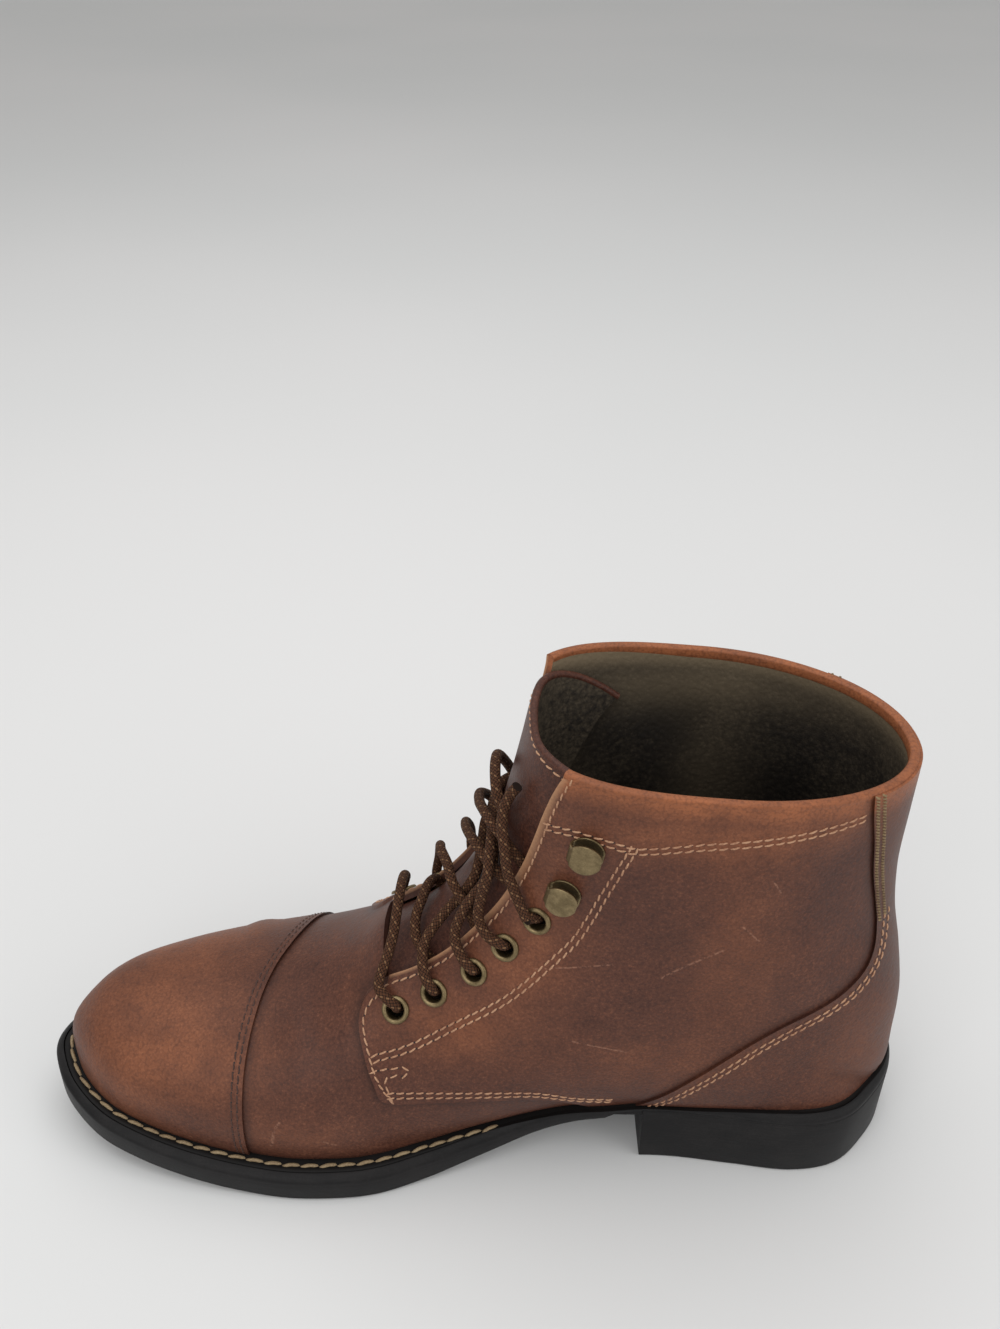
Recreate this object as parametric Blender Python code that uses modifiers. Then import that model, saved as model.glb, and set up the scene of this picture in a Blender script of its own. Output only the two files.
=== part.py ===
# Lace-up ankle boot for the right foot: cap-toe leather upper on a welted rubber sole with a block heel.
# Units are metres. +X points to the toe, +Y to the inner side of the foot, +Z up, and the floor is Z = 0.
# The origin is on the floor, in the middle of the sole's length and width.

import math

import bmesh
import bpy
import numpy as np
from mathutils import Matrix

# Driving dimensions of the sole
SOLE_LENGTH = 0.300
BALL_WIDTH = 0.107
SOLE_THICKNESS = 0.011
WAIST_THICKNESS = 0.0065
TOE_SPRING = 0.013
HEEL_HEIGHT = 0.022
HEEL_LENGTH = 0.091
HEEL_TAPER = 0.0004
HEEL_CLEARANCE = 0.010
TREAD_BEVEL = 0.0008
WELT_LEDGE = 0.0082
WELT_THICKNESS = 0.0022
WELT_TUCK = 0.005
SHOULDER_WIDTH = 0.0026
SHOULDER_DROP = 0.0018
INSOLE_THICKNESS = 0.0032
INSOLE_EASE = 0.0025

# Driving dimensions of the upper
INSTEP_HEIGHT = 0.0825
COLLAR_HEIGHT = 0.168
BACK_HEIGHT = 0.157
WALL = 0.0018
CAP_STEP = 0.0010
QUARTER_STEP = 0.0010
COUNTER_STEP = 0.0009
OVERLAY_MARGIN = 0.0006
THROAT_GAP = 0.038
COLLAR_GAP = 0.066

# Driving dimensions of the tongue, eyelets, hooks and lace
TONGUE_THICKNESS = 0.0024
TONGUE_MARGIN = 0.011
TONGUE_WING = 0.016
TONGUE_TOP = 23.6
EYELET_BORE = 0.0058
EYELET_FLANGE = 0.0094
EYELET_RIM = 0.0009
EYELET_WALL = 0.0004
HOOK_DISC = 0.0108
HOOK_LIFT = 0.0042
HOOK_PLATE = 0.0012
HOOK_FOOT = 0.0064
HOOK_SHANK = 0.0036
LACE_DIAMETER = 0.0034
LACE_CROWN = 0.0016
LACE_SUNK = 0.0009
LACE_CLEARANCE = 0.0024

# Clearance between pieces that meet
GAP = 0.0003
SEAT_GAP = 0.0009
TONGUE_GAP = 0.0010

# Mesh counts
SOLE_STATIONS = 31
HEEL_STATIONS = 16
SIDE_COLUMNS = 9
CROWN_COLUMNS = 6
TONGUE_ROWS = 15
ROUND_SIDES = 10
LACE_STEPS = 2

# Sole outline seen from above: along = share of the length from the heel, inner and outer = half-widths
# as shares of the ball width, ledge = share of the full ledge left outside the leather.
SOLE_OUTLINE = [
    # along, inner, outer, ledge
    (0.000, 0.022, 0.022, 0.50),
    (0.010, 0.143, -0.083, 0.55),
    (0.035, 0.246, -0.184, 0.66),
    (0.075, 0.345, -0.266, 0.74),
    (0.130, 0.376, -0.314, 0.70),
    (0.200, 0.351, -0.324, 0.42),
    (0.270, 0.324, -0.318, 0.18),
    (0.340, 0.319, -0.320, 0.18),
    (0.410, 0.312, -0.342, 0.34),
    (0.480, 0.350, -0.400, 0.70),
    (0.550, 0.412, -0.478, 0.92),
    (0.610, 0.464, -0.525, 1.00),
    (0.660, 0.478, -0.539, 1.00),
    (0.710, 0.475, -0.530, 1.00),
    (0.770, 0.451, -0.497, 1.00),
    (0.830, 0.414, -0.434, 1.00),
    (0.885, 0.364, -0.355, 1.00),
    (0.930, 0.303, -0.275, 1.00),
    (0.970, 0.203, -0.165, 1.00),
    (0.992, 0.100, -0.070, 1.00),
    (1.000, 0.015, 0.015, 1.00),
]

# Height of the sole's top along the sole: along = share of the length, rise = share of the heel seat's
# height above the ball, spring = share of the toe spring.
SOLE_PROFILE = [
    # along, rise, spring
    (0.000, 0.98, 0.0),
    (0.200, 1.00, 0.0),
    (0.300, 1.00, 0.0),
    (0.360, 0.86, 0.0),
    (0.420, 0.56, 0.0),
    (0.485, 0.24, 0.0),
    (0.550, 0.06, 0.0),
    (0.600, 0.00, 0.0),
    (0.700, 0.00, 0.0),
    (0.765, 0.00, 0.08),
    (0.850, 0.00, 0.32),
    (0.930, 0.00, 0.64),
    (1.000, 0.00, 1.00),
]

# Thickness of the sole along its length, as a share of the way from the waist's to the ball's.
SOLE_BODY = [
    # along, share
    (0.000, 0.0),
    (0.330, 0.0),
    (0.420, 0.25),
    (0.500, 0.70),
    (0.570, 1.00),
    (1.000, 1.00),
]

# Sections of the last, each a plane through a foot point on the sole or the back and a crest point.
# foot = share of the sole length, back = share of the back's height above the seat, crest = share of the
# sole length, level = 0 to 1 up to the instep and 1 to 2 up to the collar, inner and outer = widest
# half-widths and ridge = side shift of the crest as shares of the ball width, belly = height of the
# widest place, arch_in and arch_out = exponents of the arch over it, keel = exponent of the wall under it.
LAST_SECTIONS = [
    # foot, back, crest, level, inner, outer, ridge, belly, arch_in, arch_out, keel
    (0.9720, 0.000, 0.9730, 0.355, 0.000, 0.000, 0.010, 0.40, 2.20, 2.20, 2.0),
    (0.9675, 0.000, 0.9675, 0.435, 0.000, 0.000, 0.010, 0.40, 2.20, 2.20, 2.0),
    (0.9540, 0.000, 0.9520, 0.505, 0.000, 0.000, 0.008, 0.36, 2.25, 2.25, 2.0),
    (0.9320, 0.000, 0.9280, 0.568, 0.000, 0.000, 0.004, 0.34, 2.30, 2.30, 2.0),
    (0.8980, 0.000, 0.8920, 0.606, 0.000, 0.000, 0.000, 0.32, 2.30, 2.20, 2.0),
    (0.8500, 0.000, 0.8400, 0.638, 0.000, 0.000, 0.000, 0.30, 2.20, 2.02, 2.0),
    (0.7930, 0.000, 0.7800, 0.666, 0.350, 0.411, 0.004, 0.29, 2.10, 1.84, 2.0),
    (0.7370, 0.000, 0.7200, 0.711, 0.393, 0.455, 0.010, 0.27, 2.00, 1.71, 2.0),
    (0.6800, 0.000, 0.6670, 0.783, 0.405, 0.474, 0.018, 0.25, 1.92, 1.64, 2.0),
    (0.6270, 0.000, 0.6270, 0.881, 0.400, 0.474, 0.026, 0.24, 1.85, 1.60, 2.0),
    (0.5730, 0.000, 0.5950, 1.000, 0.386, 0.458, 0.033, 0.24, 1.80, 1.58, 2.0),
    (0.5130, 0.000, 0.5670, 1.070, 0.376, 0.430, 0.033, 0.27, 1.80, 1.60, 2.0),
    (0.4400, 0.000, 0.5430, 1.140, 0.370, 0.402, 0.028, 0.32, 1.85, 1.68, 2.0),
    (0.3530, 0.000, 0.5230, 1.216, 0.370, 0.388, 0.022, 0.38, 1.95, 1.80, 2.1),
    (0.2600, 0.000, 0.5070, 1.298, 0.368, 0.380, 0.018, 0.43, 2.10, 1.95, 2.2),
    (0.1730, 0.000, 0.4930, 1.386, 0.365, 0.373, 0.015, 0.46, 2.20, 2.10, 2.4),
    (0.1000, 0.000, 0.4830, 1.468, 0.362, 0.368, 0.012, 0.48, 2.30, 2.25, 2.6),
    (0.0470, 0.000, 0.4750, 1.550, 0.360, 0.365, 0.010, 0.49, 2.40, 2.35, 2.9),
    (0.0180, 0.000, 0.4690, 1.626, 0.358, 0.364, 0.008, 0.50, 2.45, 2.45, 3.0),
    (0.0150, 0.130, 0.4630, 1.702, 0.358, 0.364, 0.006, 0.50, 2.55, 2.55, 2.8),
    (0.0160, 0.262, 0.4580, 1.772, 0.358, 0.366, 0.004, 0.50, 2.65, 2.65, 2.6),
    (0.0265, 0.402, 0.4535, 1.836, 0.358, 0.370, 0.002, 0.50, 2.75, 2.75, 2.4),
    (0.0400, 0.542, 0.4500, 1.889, 0.357, 0.377, 0.000, 0.50, 2.80, 2.80, 2.3),
    (0.0467, 0.697, 0.4467, 1.936, 0.355, 0.386, -0.002, 0.50, 2.85, 2.85, 2.2),
    (0.0453, 0.860, 0.4435, 1.972, 0.352, 0.397, -0.004, 0.50, 2.90, 2.90, 2.15),
    (0.0433, 1.000, 0.4410, 2.000, 0.350, 0.406, -0.004, 0.50, 3.00, 3.00, 2.1),
    (0.0430, 1.100, 0.4400, 2.120, 0.350, 0.408, -0.004, 0.50, 3.00, 3.00, 2.1),
]

THROAT_ROW = 10
HEEL_ROW = 18
COLLAR_ROW = 25


def smooth_table(rows, place):
    """Read a table's row at a fractional row number, on a smooth curve through its rows."""
    table = np.asarray(rows, dtype=float)
    last = len(table) - 1
    place = min(max(place, 0.0), float(last))
    low = min(int(place), last - 1)
    t = place - low
    before, start, end, after = (table[min(max(low + step, 0), last)] for step in (-1, 0, 1, 2))
    slope_in, slope_out = (end - before) / 2, (after - start) / 2
    return ((2 * t**3 - 3 * t**2 + 1) * start + (t**3 - 2 * t**2 + t) * slope_in
            + (3 * t**2 - 2 * t**3) * end + (t**3 - t**2) * slope_out)


def smooth_line(points, steps):
    """Points along a smooth open curve through the given points."""
    count = (len(points) - 1) * steps
    return np.array([smooth_table(points, k / steps) for k in range(count + 1)])


def smooth_column(rows, along, column):
    """A column of a table as a smooth function of its first column, without overshoot."""
    table = np.asarray(rows, dtype=float)
    x, y = table[:, 0], table[:, column]
    along = min(max(along, x[0]), x[-1])
    low = min(int(np.searchsorted(x, along, side="right")) - 1, len(x) - 2)
    rises = np.diff(y) / np.diff(x)
    slopes = np.zeros(len(x))
    for k in range(1, len(x) - 1):
        if rises[k - 1] * rises[k] > 0:
            slopes[k] = 2 * rises[k - 1] * rises[k] / (rises[k - 1] + rises[k])
    span = x[low + 1] - x[low]
    t = (along - x[low]) / span
    return ((2 * t**3 - 3 * t**2 + 1) * y[low] + (t**3 - 2 * t**2 + t) * slopes[low] * span
            + (3 * t**2 - 2 * t**3) * y[low + 1] + (t**3 - t**2) * slopes[low + 1] * span)


def outline_sides():
    """The sole's outline from heel to toe on the inner and on the outer side, as dense lines."""
    rows = np.asarray(SOLE_OUTLINE)
    inner = [(r[0] * SOLE_LENGTH, r[1] * BALL_WIDTH) for r in rows]
    outer = [(r[0] * SOLE_LENGTH, r[2] * BALL_WIDTH) for r in rows]
    ring = inner + outer[-2:0:-1]
    closed = smooth_line(ring[-2:] + ring + ring[:3], 8)[16:-16]
    toe = int(np.argmax(closed[:, 0]))
    heel = int(np.argmin(closed[:toe, 0]))
    body = np.roll(closed[:-1], -heel, axis=0)
    toe = int(np.argmax(body[:, 0]))
    outer_line = np.vstack([body[toe:], body[:1]])[::-1]
    return body[:toe + 1], outer_line


INNER_LINE, OUTER_LINE = outline_sides()
CENTRE_X = SOLE_LENGTH / 2
CENTRE_Y = (INNER_LINE[:, 1].max() + OUTER_LINE[:, 1].min()) / 2


def inset_line(line, depth):
    """A side of the outline moved inwards by depth(x), still running from heel to toe."""
    tangent = np.gradient(line, axis=0)
    tangent /= np.linalg.norm(tangent, axis=1)[:, None]
    inward = np.column_stack([tangent[:, 1], -tangent[:, 0]])
    if line[len(line) // 2, 1] < 0:
        inward = -inward
    depths = np.array([depth(x) for x in line[:, 0]])
    return line + inward * depths[:, None]


def ledge(x):
    """Width of the welt and shoulder that stands out beyond the leather."""
    return WELT_LEDGE * smooth_column(SOLE_OUTLINE, x / SOLE_LENGTH, 3)


def shoulder(x):
    """Width of the sloping edge of the sole outside the welt."""
    return SHOULDER_WIDTH * (0.35 + 0.65 * ledge(x) / WELT_LEDGE)


def sole_top(x):
    """Height of the sole's top face, on which the upper stands."""
    along = x / SOLE_LENGTH
    seat_rise = HEEL_HEIGHT + WAIST_THICKNESS - SOLE_THICKNESS
    return (SOLE_THICKNESS + seat_rise * smooth_column(SOLE_PROFILE, along, 1)
            + TOE_SPRING * smooth_column(SOLE_PROFILE, along, 2))


def sole_bottom(x):
    """Height of the sole's underside: level on the heel, arched at the waist, sprung at the toe."""
    body = smooth_column(SOLE_BODY, x / SOLE_LENGTH, 1)
    thickness = WAIST_THICKNESS + (SOLE_THICKNESS - WAIST_THICKNESS) * body
    lowest = HEEL_HEIGHT + GAP if x <= HEEL_LENGTH + HEEL_CLEARANCE else 0.0
    return max(sole_top(x) - thickness, lowest)


def foot_edge(x, side):
    """Half-width of the leather's lower edge at x, on side 1 (inner) or -1 (outer)."""
    line = LEATHER_INNER if side > 0 else LEATHER_OUTER
    return abs(np.interp(x, line[:, 0], line[:, 1]))


LEATHER_INNER = inset_line(INNER_LINE, ledge)
LEATHER_OUTER = inset_line(OUTER_LINE, ledge)


def section_frame(place):
    """The foot point, crest point and shape values of the last's section at a fractional row number."""
    foot, back, crest, level, inner, outer, ridge, belly, *shape = smooth_table(LAST_SECTIONS, place)
    foot_x = foot * SOLE_LENGTH
    seat = sole_top(foot_x) + SEAT_GAP
    foot_z = seat + (BACK_HEIGHT - seat) * max(back, 0.0)
    rise = COLLAR_HEIGHT - INSTEP_HEIGHT
    crest_z = INSTEP_HEIGHT * level if level <= 1 else INSTEP_HEIGHT + rise * (level - 1)
    on_sole = place < HEEL_ROW
    edges = [foot_edge(foot_x, side) if on_sole else 0.0 for side in (1, -1)]
    swell = 1.0 + 0.06 * min(place / 3, 1.0)
    widths = [max(width * BALL_WIDTH, swell * edge) for width, edge in zip((inner, outer), edges)]
    return (foot_x, foot_z), (crest * SOLE_LENGTH, crest_z), edges, widths, ridge * BALL_WIDTH, belly, shape


def half_section(place, side, count=40):
    """One side of a section as a dense line from the lower edge up to the crest."""
    (foot_x, foot_z), (crest_x, crest_z), edges, widths, ridge, belly, shape = section_frame(place)
    pick = 0 if side > 0 else 1
    edge, width, crown, keel = edges[pick], widths[pick], shape[pick], shape[2]
    tuck = max(1.0 - (edge / width) ** keel, 1e-6) if width > 1e-6 else 1.0
    reach = math.asin(math.sqrt(tuck))
    line = []
    for k in range(count + 1):
        drop = math.sin(reach * (1 - k / count)) / math.sqrt(tuck)
        line.append((width * max(1 - tuck * drop**2, 0.0) ** (1 / keel), belly * (1 - drop), 0.0))
    for k in range(1, count + 1):
        angle = math.pi / 2 * k / count
        out = width * max(math.cos(angle), 0.0) ** (2 / crown)
        up = math.sin(angle) ** (2 / crown)
        line.append((out, belly + (1 - belly) * up, math.sin(angle) ** 2))
    points = []
    for out, up, lean in line:
        x = foot_x + (crest_x - foot_x) * up
        z = foot_z + (crest_z - foot_z) * up
        points.append((x - CENTRE_X, side * out + ridge * lean - CENTRE_Y, z))
    return np.array(points)


def walk(line, distances):
    """Points on a dense line at the given distances from its last point, the crest."""
    steps = np.linalg.norm(np.diff(line, axis=0), axis=1)
    run = np.concatenate([[0.0], np.cumsum(steps[::-1])])
    back = line[::-1]
    return np.column_stack([np.interp(distances, run, back[:, axis]) for axis in range(3)])


def line_length(line):
    """Length of a dense line."""
    return float(np.linalg.norm(np.diff(line, axis=0), axis=1).sum())


def half_gap(place):
    """Distance over the leather from the crest to the facing's edge."""
    share = (place - THROAT_ROW) / (COLLAR_ROW - THROAT_ROW)
    if share >= 0:
        return (THROAT_GAP + (COLLAR_GAP - THROAT_GAP) * share) / 2
    return THROAT_GAP / 2 * (1 + 0.25 * share)


def section_ring(place):
    """Points over one section, from the inner lower edge over the crest to the outer lower edge."""
    halves = []
    for side in (1, -1):
        line = half_section(place, side)
        total = line_length(line)
        gap = min(half_gap(place), 0.45 * total)
        crown = np.linspace(0, gap, CROWN_COLUMNS // 2 + 1)
        flank = gap + (total - gap) * np.linspace(0, 1, SIDE_COLUMNS + 1)[1:]
        halves.append(walk(line, np.concatenate([crown, flank])))
    return np.vstack([halves[0][::-1], halves[1][1:]])


def skin_places():
    """Row numbers of the upper's mesh: every section, with more at the toe and round the heel."""
    extra = [k + 0.5 for k in range(0, 4)] + [k + 0.5 for k in range(16, 21)]
    return sorted(list(range(COLLAR_ROW + 1)) + extra)


def quad_normals(points, faces):
    """Area-weighted vertex normals of a quad mesh."""
    normals = np.zeros_like(points)
    for face in faces:
        a, b, c, d = (points[k] for k in face)
        normal = np.cross(c - a, d - b)
        for k in face:
            normals[k] += normal
    length = np.linalg.norm(normals, axis=1)
    return normals / np.maximum(length, 1e-12)[:, None]


def last_skin(first, last):
    """The outer skin of the vamp layer between two rows of the last: points, quads and normals."""
    places = [place for place in skin_places() if first <= place <= last]
    rings = [section_ring(place) for place in places]
    columns = len(rings[0])
    ids = np.zeros((len(rings), columns), dtype=int)
    points = []
    for i, ring in enumerate(rings):
        for j, point in enumerate(ring):
            twin = columns - 1 - j
            if places[i] == 0 and j > twin:
                ids[i, j] = ids[i, twin]
            elif places[i] >= HEEL_ROW and j == columns - 1:
                ids[i, j] = ids[i, 0]
            else:
                ids[i, j] = len(points)
                points.append(point)
    points = np.array(points)
    crown_start = SIDE_COLUMNS
    crown_end = SIDE_COLUMNS + CROWN_COLUMNS
    kept, throat = [], []
    for i in range(len(rings) - 1):
        for j in range(columns - 1):
            quad = (ids[i, j], ids[i + 1, j], ids[i + 1, j + 1], ids[i, j + 1])
            open_throat = places[i] >= THROAT_ROW and crown_start <= j < crown_end
            (throat if open_throat else kept).append(quad)
    normals = quad_normals(points, kept + throat)
    soles = [ids[i, j] for i in range(len(rings)) if places[i] <= HEEL_ROW for j in (0, columns - 1)]
    for k in soles:
        normals[k, 2] = 0.0
        normals[k] /= np.linalg.norm(normals[k])
    rim = points[ids[-1, columns // 2]] - points[ids[-1, 0]]
    across = np.array([rim[2], 0.0, -rim[0]]) / math.hypot(rim[0], rim[2])
    for k in ids[-1]:
        normals[k] -= across * normals[k].dot(across)
        normals[k] /= np.linalg.norm(normals[k])
    return points, kept, normals


def draw_in(skin, margin):
    """The same skin with its open edges drawn in over the surface by a margin."""
    points, faces, normals = skin
    edges = {(face[k], face[(k + 1) % 4]) for face in faces for k in range(4)}
    rim = {k for a, b in edges if (b, a) not in edges and a != b for k in (a, b)}
    near = {k: set() for k in rim}
    for face in faces:
        inside = [k for k in face if k not in rim]
        for k in face:
            if k in rim:
                near[k].update(inside)
    moved = points.copy()
    for k, others in near.items():
        if others:
            towards = points[sorted(others)].mean(axis=0) - points[k]
            moved[k] += towards * (margin / np.linalg.norm(towards))
    return moved, faces, normals


def new_collection(name):
    """A collection linked to the scene."""
    collection = bpy.data.collections.new(name)
    bpy.context.scene.collection.children.link(collection)
    return collection


def new_material(name, colour, roughness, metallic):
    """A plain surface of one colour."""
    material = bpy.data.materials.new(name)
    material.use_nodes = True
    shader = material.node_tree.nodes["Principled BSDF"]
    shader.inputs["Base Color"].default_value = (*colour, 1.0)
    shader.inputs["Roughness"].default_value = roughness
    shader.inputs["Metallic"].default_value = metallic
    return material


def new_object(name, points, faces, collection, material=None, smooth_angle=40):
    """An object from points and faces, its faces turned outwards."""
    mesh = bpy.data.meshes.new(name)
    mesh.from_pydata([tuple(map(float, p)) for p in points], [], [tuple(map(int, f)) for f in faces])
    body = bmesh.new()
    body.from_mesh(mesh)
    bmesh.ops.recalc_face_normals(body, faces=body.faces)
    body.to_mesh(mesh)
    body.free()
    if material:
        mesh.materials.append(material)
    mesh.shade_smooth()
    mesh.set_sharp_from_angle(angle=math.radians(smooth_angle))
    thing = bpy.data.objects.new(name, mesh)
    collection.objects.link(thing)
    return thing


def as_cutter(thing):
    """Mark an object as a form that only cuts or joins another."""
    thing.hide_render = True
    thing.display_type = "WIRE"
    return thing


def add_boolean(thing, operand, operation, solver="EXACT"):
    """Cut, join or intersect an object with another."""
    modifier = thing.modifiers.new(operand.name, "BOOLEAN")
    modifier.operation = operation
    modifier.solver = solver
    modifier.object = operand


def ring(inset, height, stations, x_end=None):
    """A loop round the sole at an inset, from the heel along the inner side and back along the outer."""
    lines = [inset_line(line, inset) for line in (INNER_LINE, OUTER_LINE)]
    starts = max(line[0, 0] for line in lines)
    ends = min(line[-1, 0] for line in lines) if x_end is None else x_end
    sides = []
    for line in lines:
        row = []
        for k in range(stations + 1):
            turn = math.pi * k / stations
            share = (1 - math.cos(turn)) / 2 if x_end is None else 1 - math.cos(turn / 2)
            x = starts + (ends - starts) * share
            row.append((x, np.interp(x, line[:, 0], line[:, 1])))
        sides.append(row)
    heel_y = (sides[0][0][1] + sides[1][0][1]) / 2
    inner = [(sides[0][0][0], heel_y)] + sides[0][1:]
    outer = sides[1][1:]
    if x_end is None:
        toe_y = (sides[0][-1][1] + sides[1][-1][1]) / 2
        inner[-1] = (sides[0][-1][0], toe_y)
        outer = outer[:-1]
    loop = inner + outer[::-1]
    return [(x - CENTRE_X, y - CENTRE_Y, height(x)) for x, y in loop]


def cap_faces(first, size, stations, has_breast):
    """Faces that close a loop, in strips across from the inner side to the outer."""
    top = stations if has_breast else stations - 1
    faces = [(first, first + 1, first + size - 1)]
    for k in range(1, top):
        faces.append((first + k, first + k + 1, first + size - k - 1, first + size - k))
    if not has_breast:
        faces.append((first + top, first + top + 1, first + top + 2))
    return faces


def band_faces(low, high, size):
    """Faces between two loops with the same number of points."""
    return [(low + k, low + (k + 1) % size, high + (k + 1) % size, high + k) for k in range(size)]


def stack(name, loops, stations, collection, material, has_breast=False, closed_ring=False):
    """A solid from loops on top of each other, capped at both ends or joined into a ring."""
    size = len(loops[0])
    points = [point for loop in loops for point in loop]
    faces = []
    for level in range(len(loops) - 1):
        faces += band_faces(level * size, (level + 1) * size, size)
    if closed_ring:
        faces += band_faces((len(loops) - 1) * size, 0, size)
    else:
        faces += cap_faces(0, size, stations, has_breast)
        faces += cap_faces((len(loops) - 1) * size, size, stations, has_breast)
    return new_object(name, points, faces, collection, material)


def groove_inner(x):
    """Inset of the inner wall of the channel that holds the welt."""
    return ledge(x) + WALL + WELT_TUCK


def build_outsole(collection, material):
    """The rubber sole with its sloping shoulder and the channel for the welt."""
    floor = [
        (lambda x: TREAD_BEVEL, sole_bottom),
        (lambda x: 0.0, lambda x: sole_bottom(x) + TREAD_BEVEL),
        (lambda x: 0.0, lambda x: sole_top(x) - SHOULDER_DROP),
        (shoulder, sole_top),
        (shoulder, lambda x: sole_top(x) - WELT_THICKNESS - GAP),
        (groove_inner, lambda x: sole_top(x) - WELT_THICKNESS - GAP),
        (groove_inner, sole_top),
    ]
    loops = [ring(inset, height, SOLE_STATIONS) for inset, height in floor]
    return stack("outsole", loops, SOLE_STATIONS, collection, material)


def build_welt(collection, material):
    """The flat strip round the upper, lying in the sole's channel."""
    outside = lambda x: shoulder(x) + GAP
    inside = lambda x: groove_inner(x) - GAP
    under = lambda x: sole_top(x) - WELT_THICKNESS
    corners = [(outside, under), (outside, sole_top), (inside, sole_top), (inside, under)]
    loops = [ring(inset, height, SOLE_STATIONS) for inset, height in corners]
    return stack("welt", loops, SOLE_STATIONS, collection, material, closed_ring=True)


def build_heel(collection, material):
    """The heel block, a little narrower at the floor, with an upright breast."""
    levels = [
        (HEEL_TAPER + TREAD_BEVEL, 0.0),
        (HEEL_TAPER, TREAD_BEVEL),
        (0.0, HEEL_HEIGHT),
    ]
    loops = [ring(lambda x, d=d: d, lambda x, z=z: z, HEEL_STATIONS, HEEL_LENGTH) for d, z in levels]
    return stack("heel", loops, HEEL_STATIONS, collection, material, has_breast=True)


def build_insole(collection, material):
    """The board inside the upper, on top of the sole."""
    inset = lambda x: ledge(x) + WALL + INSOLE_EASE
    eased = lambda x: inset(x) + INSOLE_THICKNESS / 4
    base = lambda x: sole_top(x) + GAP
    levels = [
        (inset, base),
        (inset, lambda x: base(x) + INSOLE_THICKNESS * 0.7),
        (eased, lambda x: base(x) + INSOLE_THICKNESS),
    ]
    loops = [ring(side, height, SOLE_STATIONS) for side, height in levels]
    return stack("insole", loops, SOLE_STATIONS, collection, material)


def split_quads(points, faces):
    """Flat triangles from quads, each cut along its shorter diagonal."""
    flat = []
    for a, b, c, d in faces:
        if np.linalg.norm(points[a] - points[c]) <= np.linalg.norm(points[b] - points[d]):
            flat += [(a, b, c), (a, c, d)]
        else:
            flat += [(a, b, d), (b, c, d)]
    return [face for face in flat if len(set(face)) == 3]


def shell(name, skin, low, high, collection, material=None):
    """A closed wall between two offsets of the last's skin."""
    points, quads, normals = skin
    faces = split_quads(points, quads)
    count = len(points)
    outer, inner = points + normals * high, points + normals * low
    solid = [tuple(face) for face in faces] + [tuple(k + count for k in face[::-1]) for face in faces]
    edges = {(face[k], face[(k + 1) % 3]) for face in faces for k in range(3)}
    for a, b in sorted(edges):
        if (b, a) not in edges:
            solid += [(b, a, a + count), (b, a + count, b + count)]
    used = sorted({k for face in solid for k in face})
    remap = {k: n for n, k in enumerate(used)}
    both = np.vstack([outer, inner])[used]
    return new_object(name, both, [[remap[k] for k in face] for face in solid], collection, material)


def prism(name, low, high, collection):
    """A cutter between two outlines with the same number of points."""
    count = len(low)
    faces = [tuple(range(count)), tuple(range(2 * count - 1, count - 1, -1))]
    faces += [(k, (k + 1) % count, count + (k + 1) % count, count + k) for k in range(count)]
    return as_cutter(new_object(name, low + high, faces, collection))


def side_prism(name, outline, collection):
    """A cutter from an outline in the side view, reaching right through the boot."""
    sides = [[(x * SOLE_LENGTH - CENTRE_X, side * BALL_WIDTH, z * COLLAR_HEIGHT) for x, z in outline]
             for side in (1, -1)]
    return prism(name, sides[0], sides[1], collection)


def plan_prism(name, outline, collection):
    """A cutter from an outline seen from above, reaching from under the floor to over the collar."""
    levels = [[(x * SOLE_LENGTH - CENTRE_X, y * BALL_WIDTH - CENTRE_Y, z) for x, y in outline]
              for z in (-HEEL_HEIGHT, COLLAR_HEIGHT + HEEL_HEIGHT)]
    return prism(name, levels[0], levels[1], collection)


# Edge of the toe cap seen from above: along = share of the sole length, across = share of the ball width.
CAP_EDGE = [
    # along, across
    (0.748, 0.60),
    (0.751, 0.45),
    (0.749, 0.34),
    (0.748, 0.25),
    (0.739, 0.16),
    (0.729, 0.05),
    (0.711, -0.11),
    (0.701, -0.22),
    (0.688, -0.36),
    (0.676, -0.50),
    (0.668, -0.62),
]
CAP_CLOSING = [(1.05, -0.62), (1.05, 0.60)]

# Edges of the quarters and the counter seen from the side: up = share of the collar height.
QUARTER_EDGE = [
    # along, up
    (0.586, 0.60),
    (0.587, 0.455),
    (0.603, 0.433),
    (0.614, 0.411),
    (0.620, 0.380),
    (0.614, 0.332),
    (0.604, 0.275),
    (0.590, 0.228),
    (0.532, 0.226),
    (0.470, 0.226),
    (0.425, 0.218),
    (0.385, 0.186),
    (0.355, 0.140),
]
QUARTER_CLOSING = [(-0.05, 0.10), (-0.05, 1.2), (0.586, 1.2)]
COUNTER_EDGE = [
    # along, up
    (0.110, 1.10),
    (0.107, 0.941),
    (0.096, 0.831),
    (0.088, 0.745),
    (0.072, 0.620),
    (0.074, 0.545),
    (0.100, 0.495),
    (0.166, 0.428),
    (0.213, 0.359),
    (0.250, 0.293),
    (0.284, 0.226),
    (0.312, 0.170),
    (0.330, 0.130),
]
COUNTER_CLOSING = [(-0.05, 0.10), (-0.05, 1.15)]

# Eyelets and hooks on each facing, from the throat up: place = row on the last, inset = distance over the
# leather from the facing's edge.
EYELET_SEATS = [
    # place, inset
    (10.35, 0.0112),
    (11.60, 0.0102),
    (13.00, 0.0108),
    (14.40, 0.0112),
    (16.20, 0.0130),
]
HOOK_SEATS = [
    # place, inset
    (18.45, 0.0160),
    (21.20, 0.0165),
]


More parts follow.
